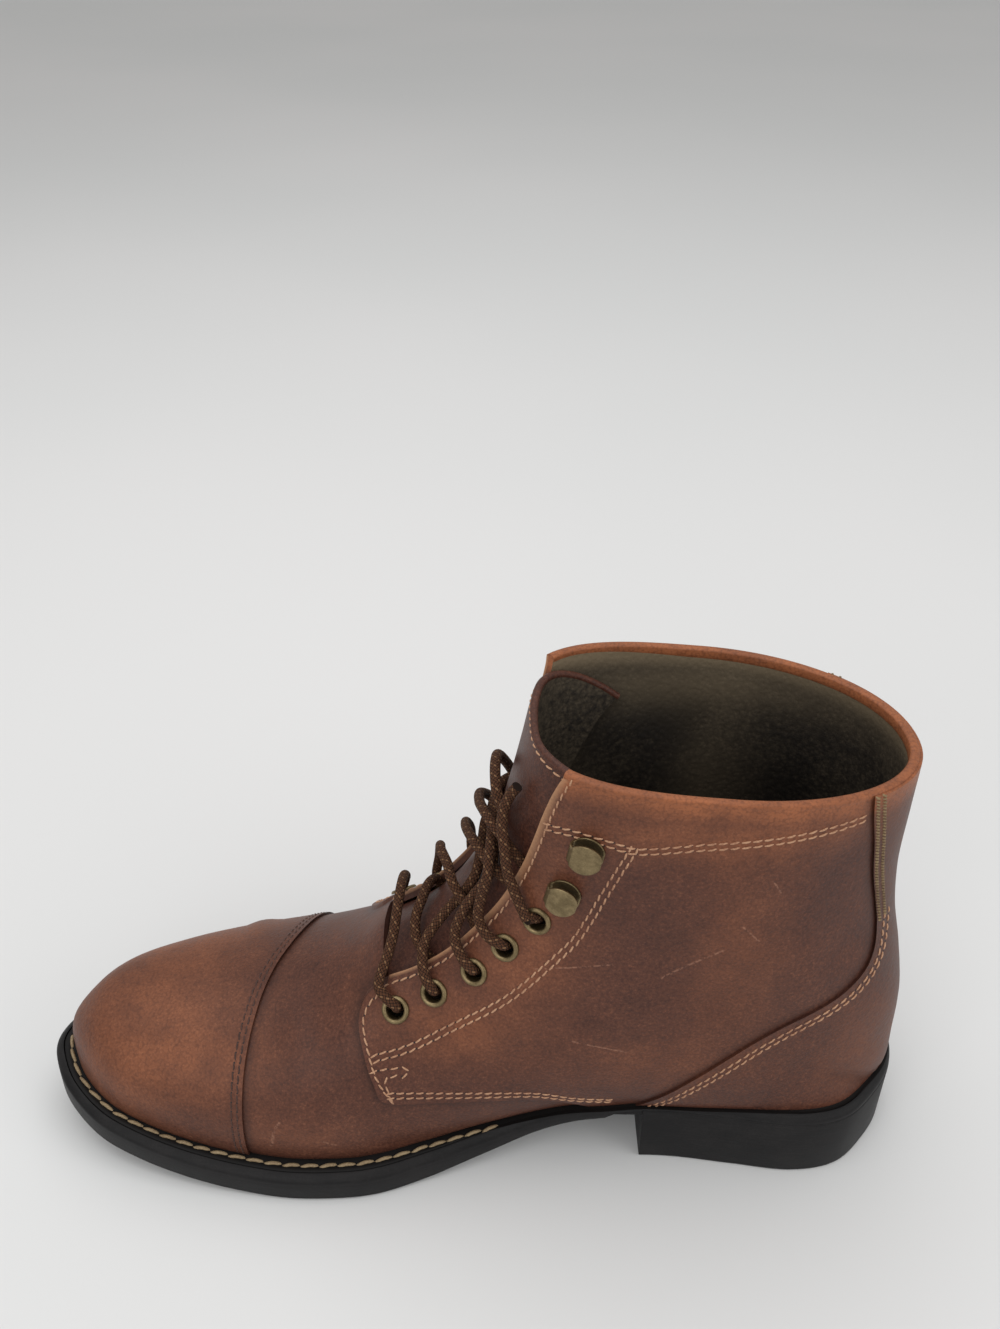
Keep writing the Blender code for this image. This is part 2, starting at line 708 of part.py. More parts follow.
# The two loose ends beyond the last eyelets: place = row on the last, across = distance over the leather
# from the crest, positive to the inner side, height = of the lace's middle over the vamp layer's skin.
END_INNER = [
    # place, across, height
    (16.70, 0.0292, 0.0042),
    (17.33, 0.0246, 0.0050),
    (18.20, 0.0218, 0.0052),
    (18.90, 0.0184, 0.0046),
    (19.45, 0.0160, 0.0034),
    (20.10, 0.0150, 0.0016),
    (20.80, 0.0160, 0.0004),
]
END_OUTER = [
    (16.90, -0.0300, 0.0042),
    (17.80, -0.0240, 0.0042),
    (18.70, -0.0155, 0.0034),
    (19.40, -0.0065, 0.0030),
    (19.50, 0.0015, 0.0032),
    (19.25, 0.0085, 0.0028),
    (18.70, 0.0126, 0.0008),
]


def seat(place, side, inset):
    """A point on the vamp layer's skin and the directions along the facing, across it and out of it."""
    reach = half_gap(place) + inset
    row, apart = 0.3, 0.003
    lines = [half_section(place + turn, side) for turn in (-row, 0, row)]
    here = walk(lines[1], [reach])[0]
    along = walk(lines[2], [reach])[0] - walk(lines[0], [reach])[0]
    towards, away = walk(lines[1], [reach - apart, reach + apart])
    normal = np.cross(along, away - towards)
    normal *= np.sign(normal.dot((0.0, side, 1.0))) / np.linalg.norm(normal)
    along -= normal * along.dot(normal)
    along /= np.linalg.norm(along)
    return here, along, np.cross(normal, along), normal


def seat_matrix(place, side, inset, lift):
    """Where a turned piece sits: its axis out of the leather, its foot at a height over the skin."""
    here, along, across, normal = seat(place, side, inset)
    matrix = Matrix.Identity(4)
    for column, axis in enumerate((along, across, normal)):
        for row in range(3):
            matrix[row][column] = axis[row]
    for row in range(3):
        matrix[row][3] = (here + normal * lift)[row]
    return matrix


def turned(name, profile, is_ring, matrix, collection, material=None):
    """A turned piece from its (radius, height) profile, closed on itself or ending on the axis."""
    count = len(profile)
    edges = [(k, k + 1) for k in range(count - 1)] + ([(count - 1, 0)] if is_ring else [])
    mesh = bpy.data.meshes.new(name)
    mesh.from_pydata([(radius, 0.0, height) for radius, height in profile], edges, [])
    if material:
        mesh.materials.append(material)
    thing = bpy.data.objects.new(name, mesh)
    collection.objects.link(thing)
    thing.matrix_world = matrix
    screw = thing.modifiers.new("turn", "SCREW")
    screw.steps = screw.render_steps = ROUND_SIDES
    screw.use_merge_vertices = True
    screw.merge_threshold = 0.00001
    screw.use_normal_flip = True
    return thing


def build_fasteners(parts, cutters, upper, brass):
    """The eyelets in their holes, and the hooks over the leather, on both facings."""
    through = WALL + QUARTER_STEP
    bore, barrel, flange = EYELET_BORE / 2, EYELET_BORE / 2 + EYELET_WALL, EYELET_FLANGE / 2
    hole = [(0.0, -through), (barrel + GAP, -through), (barrel + GAP, 2 * through), (0.0, 2 * through)]
    floor = QUARTER_STEP + GAP
    ring_profile = [
        (bore, -WALL),
        (barrel, -WALL),
        (barrel, floor),
        (flange, floor),
        (flange - EYELET_RIM / 2, floor + EYELET_RIM),
        (bore, floor + EYELET_RIM),
    ]
    shank, foot, disc = HOOK_SHANK / 2, HOOK_FOOT / 2, HOOK_DISC / 2
    hook_profile = [
        (0.0, 0.0),
        (foot, 0.0),
        (shank, HOOK_PLATE),
        (shank, HOOK_LIFT - HOOK_PLATE),
        (disc, HOOK_LIFT),
        (disc, HOOK_LIFT + HOOK_PLATE / 2),
        (0.0, HOOK_LIFT + HOOK_PLATE),
    ]
    for side, label in ((1, "inner"), (-1, "outer")):
        for number, (place, inset) in enumerate(EYELET_SEATS, 1):
            matrix = seat_matrix(place, side, inset, 0.0)
            cutter = as_cutter(turned(f"hole_{label}_{number}", hole, False, matrix, cutters))
            add_boolean(upper, cutter, "DIFFERENCE", "MANIFOLD")
            turned(f"eyelet_{label}_{number}", ring_profile, True, matrix, parts, brass)
        for number, (place, inset) in enumerate(HOOK_SEATS, 1):
            matrix = seat_matrix(place, side, inset, QUARTER_STEP + GAP)
            turned(f"hook_{label}_{number}", hook_profile, False, matrix, parts, brass)


def lace_point(place, side, inset, height):
    """A point of the lace at a height over the vamp layer's skin."""
    here, _, _, normal = seat(place, side, inset)
    return here + normal * height


def lace_tube(name, route, collection, material):
    """A round lace along a smooth line through its route."""
    line = smooth_line(np.array(route), LACE_STEPS)
    curve = bpy.data.curves.new(name, "CURVE")
    curve.dimensions = "3D"
    curve.bevel_depth = LACE_DIAMETER / 2
    curve.bevel_resolution = 2
    curve.use_fill_caps = True
    spline = curve.splines.new("POLY")
    spline.points.add(len(line) - 1)
    for point, place in zip(spline.points, line):
        point.co = (*place, 1.0)
    curve.materials.append(material)
    thing = bpy.data.objects.new(name, curve)
    collection.objects.link(thing)
    return thing


def lace_solid(name, route, collection, material):
    """A lace as a closed mesh that can be joined to another."""
    tube = lace_tube(f"{name}_line", route, collection, material)
    bpy.context.view_layer.update()
    mesh = bpy.data.meshes.new_from_object(tube.evaluated_get(bpy.context.evaluated_depsgraph_get()))
    bpy.data.objects.remove(tube, do_unlink=True)
    body = bmesh.new()
    body.from_mesh(mesh)
    bmesh.ops.remove_doubles(body, verts=body.verts, dist=0.00001)
    bmesh.ops.recalc_face_normals(body, faces=body.faces)
    body.to_mesh(mesh)
    body.free()
    thing = bpy.data.objects.new(name, mesh)
    collection.objects.link(thing)
    return thing


def lace_down(number, side):
    """A strand from over an eyelet across the tongue to under the other facing, one eyelet higher."""
    (start, inset), (end, _) = EYELET_SEATS[number - 1], EYELET_SEATS[number]
    over = QUARTER_STEP + GAP + EYELET_RIM + GAP + LACE_DIAMETER / 2
    edge = QUARTER_STEP + GAP + LACE_DIAMETER / 2 + GAP
    return [
        lace_point(start, side, inset * 0.8, over),
        lace_point(start + 0.25, side, 0.0, edge),
        lace_point((start + end) / 2, side, -half_gap((start + end) / 2) * 0.95, LACE_CROWN),
        lace_point(end - 0.25, -side, -LACE_CLEARANCE, LACE_SUNK),
    ]


def lace_under(number, side):
    """A strand from under one facing across the tongue to under the other, one eyelet higher."""
    start, end = EYELET_SEATS[number - 1][0], EYELET_SEATS[number][0]
    return [
        lace_point(start + 0.30, side, -LACE_CLEARANCE, LACE_SUNK),
        lace_point((start + end) / 2, side, -half_gap((start + end) / 2) * 0.95, LACE_CROWN),
        lace_point(end - 0.25, -side, -LACE_CLEARANCE, LACE_SUNK),
    ]


def lace_end(name, side, table, parts, material):
    """A loose end from over the last eyelet along its own route on the tongue."""
    place, inset = EYELET_SEATS[-1]
    over = QUARTER_STEP + GAP + EYELET_RIM + GAP + LACE_DIAMETER / 2
    route = [lace_point(place, side, inset * 0.8, over)]
    for row, across, height in table:
        route.append(lace_point(row, math.copysign(1.0, across), abs(across) - half_gap(row), height))
    lace_tube(name, route, parts, material)


def build_lacing(parts, cutters, material):
    """The bar at the throat, the crossings up the tongue and the two loose ends."""
    place, inset = EYELET_SEATS[0]
    over = QUARTER_STEP + GAP + EYELET_RIM + GAP + LACE_DIAMETER / 2
    edge = QUARTER_STEP + GAP + LACE_DIAMETER / 2 + GAP
    bar = [
        lace_point(place, 1, inset * 0.8, over),
        lace_point(place, 1, 0.0, edge),
        lace_point(place, 1, -half_gap(place) * 0.99, edge),
        lace_point(place, -1, 0.0, edge),
        lace_point(place, -1, inset * 0.8, over),
    ]
    lace_solid("lace_bar", bar, parts, material)
    for number in range(1, len(EYELET_SEATS)):
        route = lace_under if number == 1 else lace_down
        crossing = lace_solid(f"lace_crossing_{number}", route(number, 1), parts, material)
        other = as_cutter(lace_solid(f"lace_other_{number}", route(number, -1), cutters, material))
        add_boolean(crossing, other, "UNION")
    lace_end("lace_end_inner", 1, END_INNER, parts, material)
    lace_end("lace_end_outer", -1, END_OUTER, parts, material)


def build_upper(parts, cutters, material):
    """The hollow upper: a thin last-shaped wall with the cap, quarters and counter as thicker steps."""
    upper = shell("upper", last_skin(0, COLLAR_ROW), -WALL, 0.0, parts, material)
    overlays = [
        ("toe_cap", CAP_STEP, 1, 0, THROAT_ROW, plan_prism, CAP_EDGE, CAP_CLOSING),
        ("quarters", QUARTER_STEP, 1, 8, COLLAR_ROW, side_prism, QUARTER_EDGE, QUARTER_CLOSING),
        ("counter", QUARTER_STEP + COUNTER_STEP, 2, 12, COLLAR_ROW, side_prism, COUNTER_EDGE, COUNTER_CLOSING),
    ]
    for name, step, layer, first, last, cut, edge, closing in overlays:
        skin = draw_in(last_skin(first, last), OVERLAY_MARGIN * layer)
        form = as_cutter(shell(f"{name}_form", skin, -WALL / (1 + layer), step, cutters))
        outline = [tuple(point) for point in smooth_line(edge, 2)] + closing
        add_boolean(form, cut(f"{name}_edge", outline, cutters), "INTERSECT")
        add_boolean(upper, form, "UNION", "MANIFOLD")
    return upper


def build_tongue(parts, material):
    """The tongue: a curved sheet under the facings, from inside the vamp to just below the collar."""
    start = THROAT_ROW - 1.5
    places = [start + (TONGUE_TOP - start) * k / TONGUE_ROWS for k in range(TONGUE_ROWS + 1)]
    offset = -(WALL + TONGUE_GAP)
    columns = 5
    rows = []
    for place in places:
        rise = min(max((place - start) / (TONGUE_TOP - start), 0.0), 1.0)
        halves = []
        for side, wing in ((1, 0.0), (-1, TONGUE_WING)):
            reach = half_gap(place) + TONGUE_MARGIN + wing * rise**2
            halves.append(walk(half_section(place, side), np.linspace(0, reach, columns + 1)))
        rows.append(np.vstack([halves[0][::-1], halves[1][1:]]))
    points = np.vstack(rows)
    width = 2 * columns + 1
    faces = [(i * width + j, (i + 1) * width + j, (i + 1) * width + j + 1, i * width + j + 1)
             for i in range(len(rows) - 1) for j in range(width - 1)]
    normals = quad_normals(points, faces)
    return shell("tongue", (points, faces, normals), offset - TONGUE_THICKNESS, offset, parts, material)


def build():
    """Make every piece of the boot."""
    parts = new_collection("ankle_boot")
    cutters = new_collection("ankle_boot_cutters")
    leather = new_material("brown_leather", (0.155, 0.062, 0.036), 0.55, 0.0)
    rubber = new_material("black_rubber", (0.022, 0.021, 0.022), 0.60, 0.0)
    welting = new_material("black_welt", (0.016, 0.014, 0.013), 0.65, 0.0)
    lining = new_material("olive_lining", (0.050, 0.040, 0.028), 0.90, 0.0)
    brass = new_material("aged_brass", (0.300, 0.230, 0.140), 0.35, 1.0)
    cord = new_material("brown_cord", (0.082, 0.050, 0.031), 0.85, 0.0)
    build_outsole(parts, rubber)
    build_heel(parts, rubber)
    build_welt(parts, welting)
    build_insole(parts, lining)
    upper = build_upper(parts, cutters, leather)
    build_tongue(parts, leather)
    build_fasteners(parts, cutters, upper, brass)
    build_lacing(parts, cutters, cord)


for old in list(bpy.data.objects):
    bpy.data.objects.remove(old, do_unlink=True)
build()
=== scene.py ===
# Lace-up ankle boot for the right foot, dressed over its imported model: brown waxed leather upper with a
# stitched toe cap, quarters and counter, olive lining, aged brass eyelets and hooks, a braided brown lace
# and a black moulded rubber sole. Metres; +X to the toe, +Y to the inner side of the foot, +Z up, with the
# floor at Z = 0.

import functools
import math

import bmesh
import bpy
import numpy as np
from mathutils import Matrix, Vector
from mathutils.bvhtree import BVHTree


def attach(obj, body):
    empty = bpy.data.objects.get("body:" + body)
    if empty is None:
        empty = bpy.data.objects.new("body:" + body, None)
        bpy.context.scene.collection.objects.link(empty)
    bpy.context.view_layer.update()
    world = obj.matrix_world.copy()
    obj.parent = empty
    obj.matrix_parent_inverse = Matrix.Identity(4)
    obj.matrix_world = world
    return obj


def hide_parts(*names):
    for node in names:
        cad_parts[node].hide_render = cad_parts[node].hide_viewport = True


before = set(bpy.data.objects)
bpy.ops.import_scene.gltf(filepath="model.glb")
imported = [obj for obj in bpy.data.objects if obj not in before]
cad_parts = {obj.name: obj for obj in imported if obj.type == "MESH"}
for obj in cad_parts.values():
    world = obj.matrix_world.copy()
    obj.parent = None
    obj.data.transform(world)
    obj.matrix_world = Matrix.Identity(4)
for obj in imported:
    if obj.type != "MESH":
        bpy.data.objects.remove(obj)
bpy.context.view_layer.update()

# Sizes of the boot, as in the model's source
SOLE_LENGTH = 0.300
BALL_WIDTH = 0.107
SOLE_THICKNESS = 0.011
WAIST_THICKNESS = 0.0065
TOE_SPRING = 0.013
HEEL_HEIGHT = 0.022
HEEL_LENGTH = 0.091
HEEL_TAPER = 0.0004
WELT_LEDGE = 0.0082
WELT_THICKNESS = 0.0022
SHOULDER_WIDTH = 0.0026
SHOULDER_DROP = 0.0018

# Driving dimensions of the upper
INSTEP_HEIGHT = 0.0825
COLLAR_HEIGHT = 0.168
BACK_HEIGHT = 0.157
WALL = 0.0018
CAP_STEP = 0.0010
QUARTER_STEP = 0.0010
COUNTER_STEP = 0.0009
THROAT_GAP = 0.038
COLLAR_GAP = 0.066

# Driving dimensions of the tongue, eyelets, hooks and lace
TONGUE_THICKNESS = 0.0024
TONGUE_MARGIN = 0.011
TONGUE_WING = 0.016
TONGUE_TOP = 24.4
EYELET_BORE = 0.0058
EYELET_FLANGE = 0.0094
EYELET_RIM = 0.0009
EYELET_WALL = 0.0004
HOOK_DISC = 0.0108
LACE_DIAMETER = 0.0034

# Clearance between pieces that meet
GAP = 0.0003
HEEL_CLEARANCE = 0.010
WELT_TUCK = 0.005
TREAD_BEVEL = 0.0010
SEAT_GAP = 0.0001
TONGUE_GAP = 0.0010


# Counts of the dense grid over the last
SKIN_STEPS = 8
CROWN_COLUMNS = 12
FLANK_COLUMNS = 58
SOLE_STATIONS = 150

# Camera of the photograph
CAMERA_PLACE = (-0.0103, 0.3223, 0.3964)
CAMERA_PITCH = 33.55
CAMERA_LENS = 35.21
CAMERA_SENSOR = 36.0

# Sole outline seen from above: along = share of the length from the heel, inner and outer = half-widths
# as shares of the ball width, ledge = share of the full ledge left outside the leather.
SOLE_OUTLINE = [
    # along, inner, outer, ledge
    (0.000, 0.022, 0.022, 0.50),
    (0.010, 0.143, -0.083, 0.55),
    (0.035, 0.246, -0.184, 0.66),
    (0.075, 0.345, -0.266, 0.74),
    (0.130, 0.376, -0.314, 0.70),
    (0.200, 0.351, -0.324, 0.42),
    (0.270, 0.324, -0.318, 0.18),
    (0.340, 0.319, -0.320, 0.18),
    (0.410, 0.312, -0.342, 0.34),
    (0.480, 0.350, -0.400, 0.70),
    (0.550, 0.412, -0.478, 0.92),
    (0.610, 0.464, -0.525, 1.00),
    (0.660, 0.478, -0.539, 1.00),
    (0.710, 0.475, -0.530, 1.00),
    (0.770, 0.451, -0.497, 1.00),
    (0.830, 0.414, -0.434, 1.00),
    (0.885, 0.364, -0.355, 1.00),
    (0.930, 0.303, -0.275, 1.00),
    (0.970, 0.203, -0.165, 1.00),
    (0.992, 0.100, -0.070, 1.00),
    (1.000, 0.015, 0.015, 1.00),
]

# Height of the sole's top along the sole: along = share of the length, rise = share of the heel seat's
# height above the ball, spring = share of the toe spring.
SOLE_PROFILE = [
    # along, rise, spring
    (0.000, 0.98, 0.0),
    (0.200, 1.00, 0.0),
    (0.300, 1.00, 0.0),
    (0.360, 0.86, 0.0),
    (0.420, 0.56, 0.0),
    (0.485, 0.24, 0.0),
    (0.550, 0.06, 0.0),
    (0.600, 0.00, 0.0),
    (0.700, 0.00, 0.0),
    (0.765, 0.00, 0.08),
    (0.850, 0.00, 0.32),
    (0.930, 0.00, 0.64),
    (1.000, 0.00, 1.00),
]

# Thickness of the sole along its length, as a share of the way from the waist's to the ball's.
SOLE_BODY = [
    # along, share
    (0.000, 0.0),
    (0.330, 0.0),
    (0.420, 0.25),
    (0.500, 0.70),
    (0.570, 1.00),
    (1.000, 1.00),
]

# Sections of the last, each a plane through a foot point on the sole or the back and a crest point.
# foot = share of the sole length, back = share of the back's height above the seat, crest = share of the
# sole length, level = 0 to 1 up to the instep and 1 to 2 up to the collar, inner and outer = widest
# half-widths and ridge = side shift of the crest as shares of the ball width, belly = height of the
# widest place, arch_in and arch_out = exponents of the arch over it, keel = exponent of the wall under it.
LAST_SECTIONS = [
    # foot, back, crest, level, inner, outer, ridge, belly, arch_in, arch_out, keel
    (0.9720, 0.000, 0.9730, 0.355, 0.000, 0.000, 0.010, 0.40, 2.20, 2.20, 2.0),
    (0.9675, 0.000, 0.9675, 0.435, 0.000, 0.000, 0.010, 0.40, 2.20, 2.20, 2.0),
    (0.9540, 0.000, 0.9520, 0.505, 0.000, 0.000, 0.008, 0.36, 2.25, 2.25, 2.0),
    (0.9320, 0.000, 0.9280, 0.568, 0.000, 0.000, 0.004, 0.34, 2.30, 2.30, 2.0),
    (0.8980, 0.000, 0.8920, 0.606, 0.000, 0.000, 0.000, 0.32, 2.30, 2.20, 2.0),
    (0.8500, 0.000, 0.8400, 0.638, 0.000, 0.000, 0.000, 0.30, 2.20, 2.02, 2.0),
    (0.7930, 0.000, 0.7800, 0.666, 0.350, 0.411, 0.004, 0.29, 2.10, 1.84, 2.0),
    (0.7370, 0.000, 0.7200, 0.711, 0.393, 0.455, 0.010, 0.27, 2.00, 1.71, 2.0),
    (0.6800, 0.000, 0.6670, 0.783, 0.405, 0.474, 0.018, 0.25, 1.92, 1.64, 2.0),
    (0.6270, 0.000, 0.6270, 0.881, 0.400, 0.474, 0.026, 0.24, 1.85, 1.60, 2.0),
    (0.5730, 0.000, 0.5950, 1.000, 0.386, 0.458, 0.033, 0.24, 1.80, 1.58, 2.0),
    (0.5130, 0.000, 0.5670, 1.070, 0.376, 0.430, 0.033, 0.27, 1.80, 1.60, 2.0),
    (0.4400, 0.000, 0.5430, 1.140, 0.370, 0.402, 0.028, 0.32, 1.85, 1.68, 2.0),
    (0.3530, 0.000, 0.5230, 1.216, 0.370, 0.388, 0.022, 0.38, 1.95, 1.80, 2.1),
    (0.2600, 0.000, 0.5070, 1.298, 0.368, 0.380, 0.018, 0.43, 2.10, 1.95, 2.2),
    (0.1730, 0.000, 0.4930, 1.386, 0.365, 0.373, 0.015, 0.46, 2.20, 2.10, 2.4),
    (0.1000, 0.000, 0.4830, 1.468, 0.362, 0.368, 0.012, 0.48, 2.30, 2.25, 2.6),
    (0.0470, 0.000, 0.4750, 1.550, 0.360, 0.365, 0.010, 0.49, 2.40, 2.35, 2.9),
    (0.0180, 0.000, 0.4690, 1.626, 0.358, 0.364, 0.008, 0.50, 2.45, 2.45, 3.0),
    (0.0150, 0.130, 0.4630, 1.702, 0.358, 0.364, 0.006, 0.50, 2.55, 2.55, 2.8),
    (0.0160, 0.262, 0.4580, 1.772, 0.358, 0.366, 0.004, 0.50, 2.65, 2.65, 2.6),
    (0.0265, 0.402, 0.4535, 1.836, 0.358, 0.370, 0.002, 0.50, 2.75, 2.75, 2.4),
    (0.0400, 0.542, 0.4500, 1.889, 0.357, 0.377, 0.000, 0.50, 2.80, 2.80, 2.3),
    (0.0467, 0.697, 0.4467, 1.936, 0.355, 0.386, -0.002, 0.50, 2.85, 2.85, 2.2),
    (0.0453, 0.860, 0.4435, 1.972, 0.352, 0.397, -0.004, 0.50, 2.90, 2.90, 2.15),
    (0.0433, 1.000, 0.4410, 2.000, 0.350, 0.406, -0.004, 0.50, 3.00, 3.00, 2.1),
    (0.0430, 1.100, 0.4400, 2.120, 0.350, 0.408, -0.004, 0.50, 3.00, 3.00, 2.1),
]

THROAT_ROW = 10
HEEL_ROW = 18
COLLAR_ROW = 25

# Edge of the toe cap seen from above: along = share of the sole length, across = share of the ball width.
CAP_EDGE = [
    # along, across
    (0.748, 0.60),
    (0.751, 0.45),
    (0.750, 0.36),
    (0.747, 0.28),
    (0.742, 0.19),
    (0.735, 0.09),
    (0.725, -0.01),
    (0.713, -0.11),
    (0.701, -0.22),
    (0.688, -0.36),
    (0.676, -0.50),
    (0.668, -0.62),
]
CAP_CLOSING = [(1.05, -0.62), (1.05, 0.60)]

# Edges of the quarters and the counter seen from the side: up = share of the collar height.
QUARTER_EDGE = [
    # along, up
    (0.586, 0.60),
    (0.587, 0.455),
    (0.603, 0.433),
    (0.614, 0.411),
    (0.620, 0.380),
    (0.614, 0.332),
    (0.604, 0.275),
    (0.590, 0.228),
    (0.532, 0.226),
    (0.470, 0.226),
    (0.425, 0.218),
    (0.385, 0.186),
    (0.355, 0.140),
]
QUARTER_CLOSING = [(-0.05, 0.10), (-0.05, 1.2), (0.586, 1.2)]
COUNTER_EDGE = [
    # along, up
    (0.110, 1.10),
    (0.107, 0.941),
    (0.096, 0.831),
    (0.088, 0.745),
    (0.072, 0.620),
    (0.074, 0.545),
    (0.100, 0.495),
    (0.166, 0.428),
    (0.213, 0.359),
    (0.250, 0.293),
    (0.284, 0.226),
    (0.312, 0.170),
    (0.330, 0.130),
]
COUNTER_CLOSING = [(-0.05, 0.10), (-0.05, 1.15)]

# Eyelets and hooks on each facing, from the throat up: place = row on the last, inset = distance over the
# leather from the facing's edge.
EYELET_SEATS = [
    # place, inset
    (10.35, 0.0112),
    (11.60, 0.0102),
    (13.00, 0.0108),
    (14.40, 0.0112),
    (16.20, 0.0130),
]
HOOK_SEATS = [
    # place, inset
    (18.45, 0.0160),
    (21.20, 0.0165),
]

# The two loose ends beyond the last eyelets: place = row on the last, across = distance over the leather
# from the crest, positive to the inner side, height = of the lace's middle over the vamp layer's skin.
END_INNER = [
    # place, across, height
    (16.70, 0.0292, 0.0042),
    (17.33, 0.0246, 0.0050),
    (18.20, 0.0218, 0.0052),
    (18.90, 0.0184, 0.0046),
    (19.45, 0.0160, 0.0034),
    (20.10, 0.0150, 0.0016),
    (20.80, 0.0160, 0.0004),
]
END_OUTER = [
    # place, across, height
    (16.90, -0.0300, 0.0042),
    (17.80, -0.0240, 0.0042),
    (18.70, -0.0155, 0.0034),
    (19.40, -0.0065, 0.0030),
    (19.50, 0.0015, 0.0032),
    (19.25, 0.0085, 0.0028),
    (18.70, 0.0126, 0.0008),
]



def smooth_table(rows, place):
    """Read a table's row at a fractional row number, on a smooth curve through its rows."""
    table = np.asarray(rows, dtype=float)
    last = len(table) - 1
    place = min(max(place, 0.0), float(last))
    low = min(int(place), last - 1)
    t = place - low
    before, start, end, after = (table[min(max(low + step, 0), last)] for step in (-1, 0, 1, 2))
    slope_in, slope_out = (end - before) / 2, (after - start) / 2
    return ((2 * t**3 - 3 * t**2 + 1) * start + (t**3 - 2 * t**2 + t) * slope_in
            + (3 * t**2 - 2 * t**3) * end + (t**3 - t**2) * slope_out)


def smooth_line(points, steps):
    """Points along a smooth open curve through the given points."""
    count = (len(points) - 1) * steps
    return np.array([smooth_table(points, k / steps) for k in range(count + 1)])


def smooth_column(rows, along, column):
    """A column of a table as a smooth function of its first column, without overshoot."""
    table = np.asarray(rows, dtype=float)
    x, y = table[:, 0], table[:, column]
    along = min(max(along, x[0]), x[-1])
    low = min(int(np.searchsorted(x, along, side="right")) - 1, len(x) - 2)
    rises = np.diff(y) / np.diff(x)
    slopes = np.zeros(len(x))
    for k in range(1, len(x) - 1):
        if rises[k - 1] * rises[k] > 0:
            slopes[k] = 2 * rises[k - 1] * rises[k] / (rises[k - 1] + rises[k])
    span = x[low + 1] - x[low]
    t = (along - x[low]) / span
    return ((2 * t**3 - 3 * t**2 + 1) * y[low] + (t**3 - 2 * t**2 + t) * slopes[low] * span
            + (3 * t**2 - 2 * t**3) * y[low + 1] + (t**3 - t**2) * slopes[low + 1] * span)


def outline_sides():
    """The sole's outline from heel to toe on the inner and on the outer side, as dense lines."""
    rows = np.asarray(SOLE_OUTLINE)
    inner = [(r[0] * SOLE_LENGTH, r[1] * BALL_WIDTH) for r in rows]
    outer = [(r[0] * SOLE_LENGTH, r[2] * BALL_WIDTH) for r in rows]
    ring = inner + outer[-2:0:-1]
    closed = smooth_line(ring[-2:] + ring + ring[:3], 8)[16:-16]
    toe = int(np.argmax(closed[:, 0]))
    heel = int(np.argmin(closed[:toe, 0]))
    body = np.roll(closed[:-1], -heel, axis=0)
    toe = int(np.argmax(body[:, 0]))
    outer_line = np.vstack([body[toe:], body[:1]])[::-1]
    return body[:toe + 1], outer_line


INNER_LINE, OUTER_LINE = outline_sides()
CENTRE_X = SOLE_LENGTH / 2
CENTRE_Y = (INNER_LINE[:, 1].max() + OUTER_LINE[:, 1].min()) / 2


def inset_line(line, depth):
    """A side of the outline moved inwards by depth(x), still running from heel to toe."""
    tangent = np.gradient(line, axis=0)
    tangent /= np.linalg.norm(tangent, axis=1)[:, None]
    inward = np.column_stack([tangent[:, 1], -tangent[:, 0]])
    if line[len(line) // 2, 1] < 0:
        inward = -inward
    depths = np.array([depth(x) for x in line[:, 0]])
    return line + inward * depths[:, None]


def ledge(x):
    """Width of the welt and shoulder that stands out beyond the leather."""
    return WELT_LEDGE * smooth_column(SOLE_OUTLINE, x / SOLE_LENGTH, 3)


def shoulder(x):
    """Width of the sloping edge of the sole outside the welt."""
    return SHOULDER_WIDTH * (0.35 + 0.65 * ledge(x) / WELT_LEDGE)


def sole_top(x):
    """Height of the sole's top face, on which the upper stands."""
    along = x / SOLE_LENGTH
    seat_rise = HEEL_HEIGHT + WAIST_THICKNESS - SOLE_THICKNESS
    return (SOLE_THICKNESS + seat_rise * smooth_column(SOLE_PROFILE, along, 1)
            + TOE_SPRING * smooth_column(SOLE_PROFILE, along, 2))


def sole_bottom(x):
    """Height of the sole's underside: level on the heel, arched at the waist, sprung at the toe."""
    body = smooth_column(SOLE_BODY, x / SOLE_LENGTH, 1)
    thickness = WAIST_THICKNESS + (SOLE_THICKNESS - WAIST_THICKNESS) * body
    lowest = HEEL_HEIGHT + GAP if x <= HEEL_LENGTH + HEEL_CLEARANCE else 0.0
    return max(sole_top(x) - thickness, lowest)


def foot_edge(x, side):
    """Half-width of the leather's lower edge at x, on side 1 (inner) or -1 (outer)."""
    line = LEATHER_INNER if side > 0 else LEATHER_OUTER
    return abs(np.interp(x, line[:, 0], line[:, 1]))


LEATHER_INNER = inset_line(INNER_LINE, ledge)
LEATHER_OUTER = inset_line(OUTER_LINE, ledge)


def section_frame(place):
    """The foot point, crest point and shape values of the last's section at a fractional row number."""
    foot, back, crest, level, inner, outer, ridge, belly, *shape = smooth_table(LAST_SECTIONS, place)
    foot_x = foot * SOLE_LENGTH
    seat = sole_top(foot_x) + SEAT_GAP
    foot_z = seat + (BACK_HEIGHT - seat) * max(back, 0.0)
    rise = COLLAR_HEIGHT - INSTEP_HEIGHT
    crest_z = INSTEP_HEIGHT * level if level <= 1 else INSTEP_HEIGHT + rise * (level - 1)
    on_sole = place < HEEL_ROW
    edges = [foot_edge(foot_x, side) if on_sole else 0.0 for side in (1, -1)]
    swell = 1.0 + 0.06 * min(place / 3, 1.0)
    widths = [max(width * BALL_WIDTH, swell * edge) for width, edge in zip((inner, outer), edges)]
    return (foot_x, foot_z), (crest * SOLE_LENGTH, crest_z), edges, widths, ridge * BALL_WIDTH, belly, shape


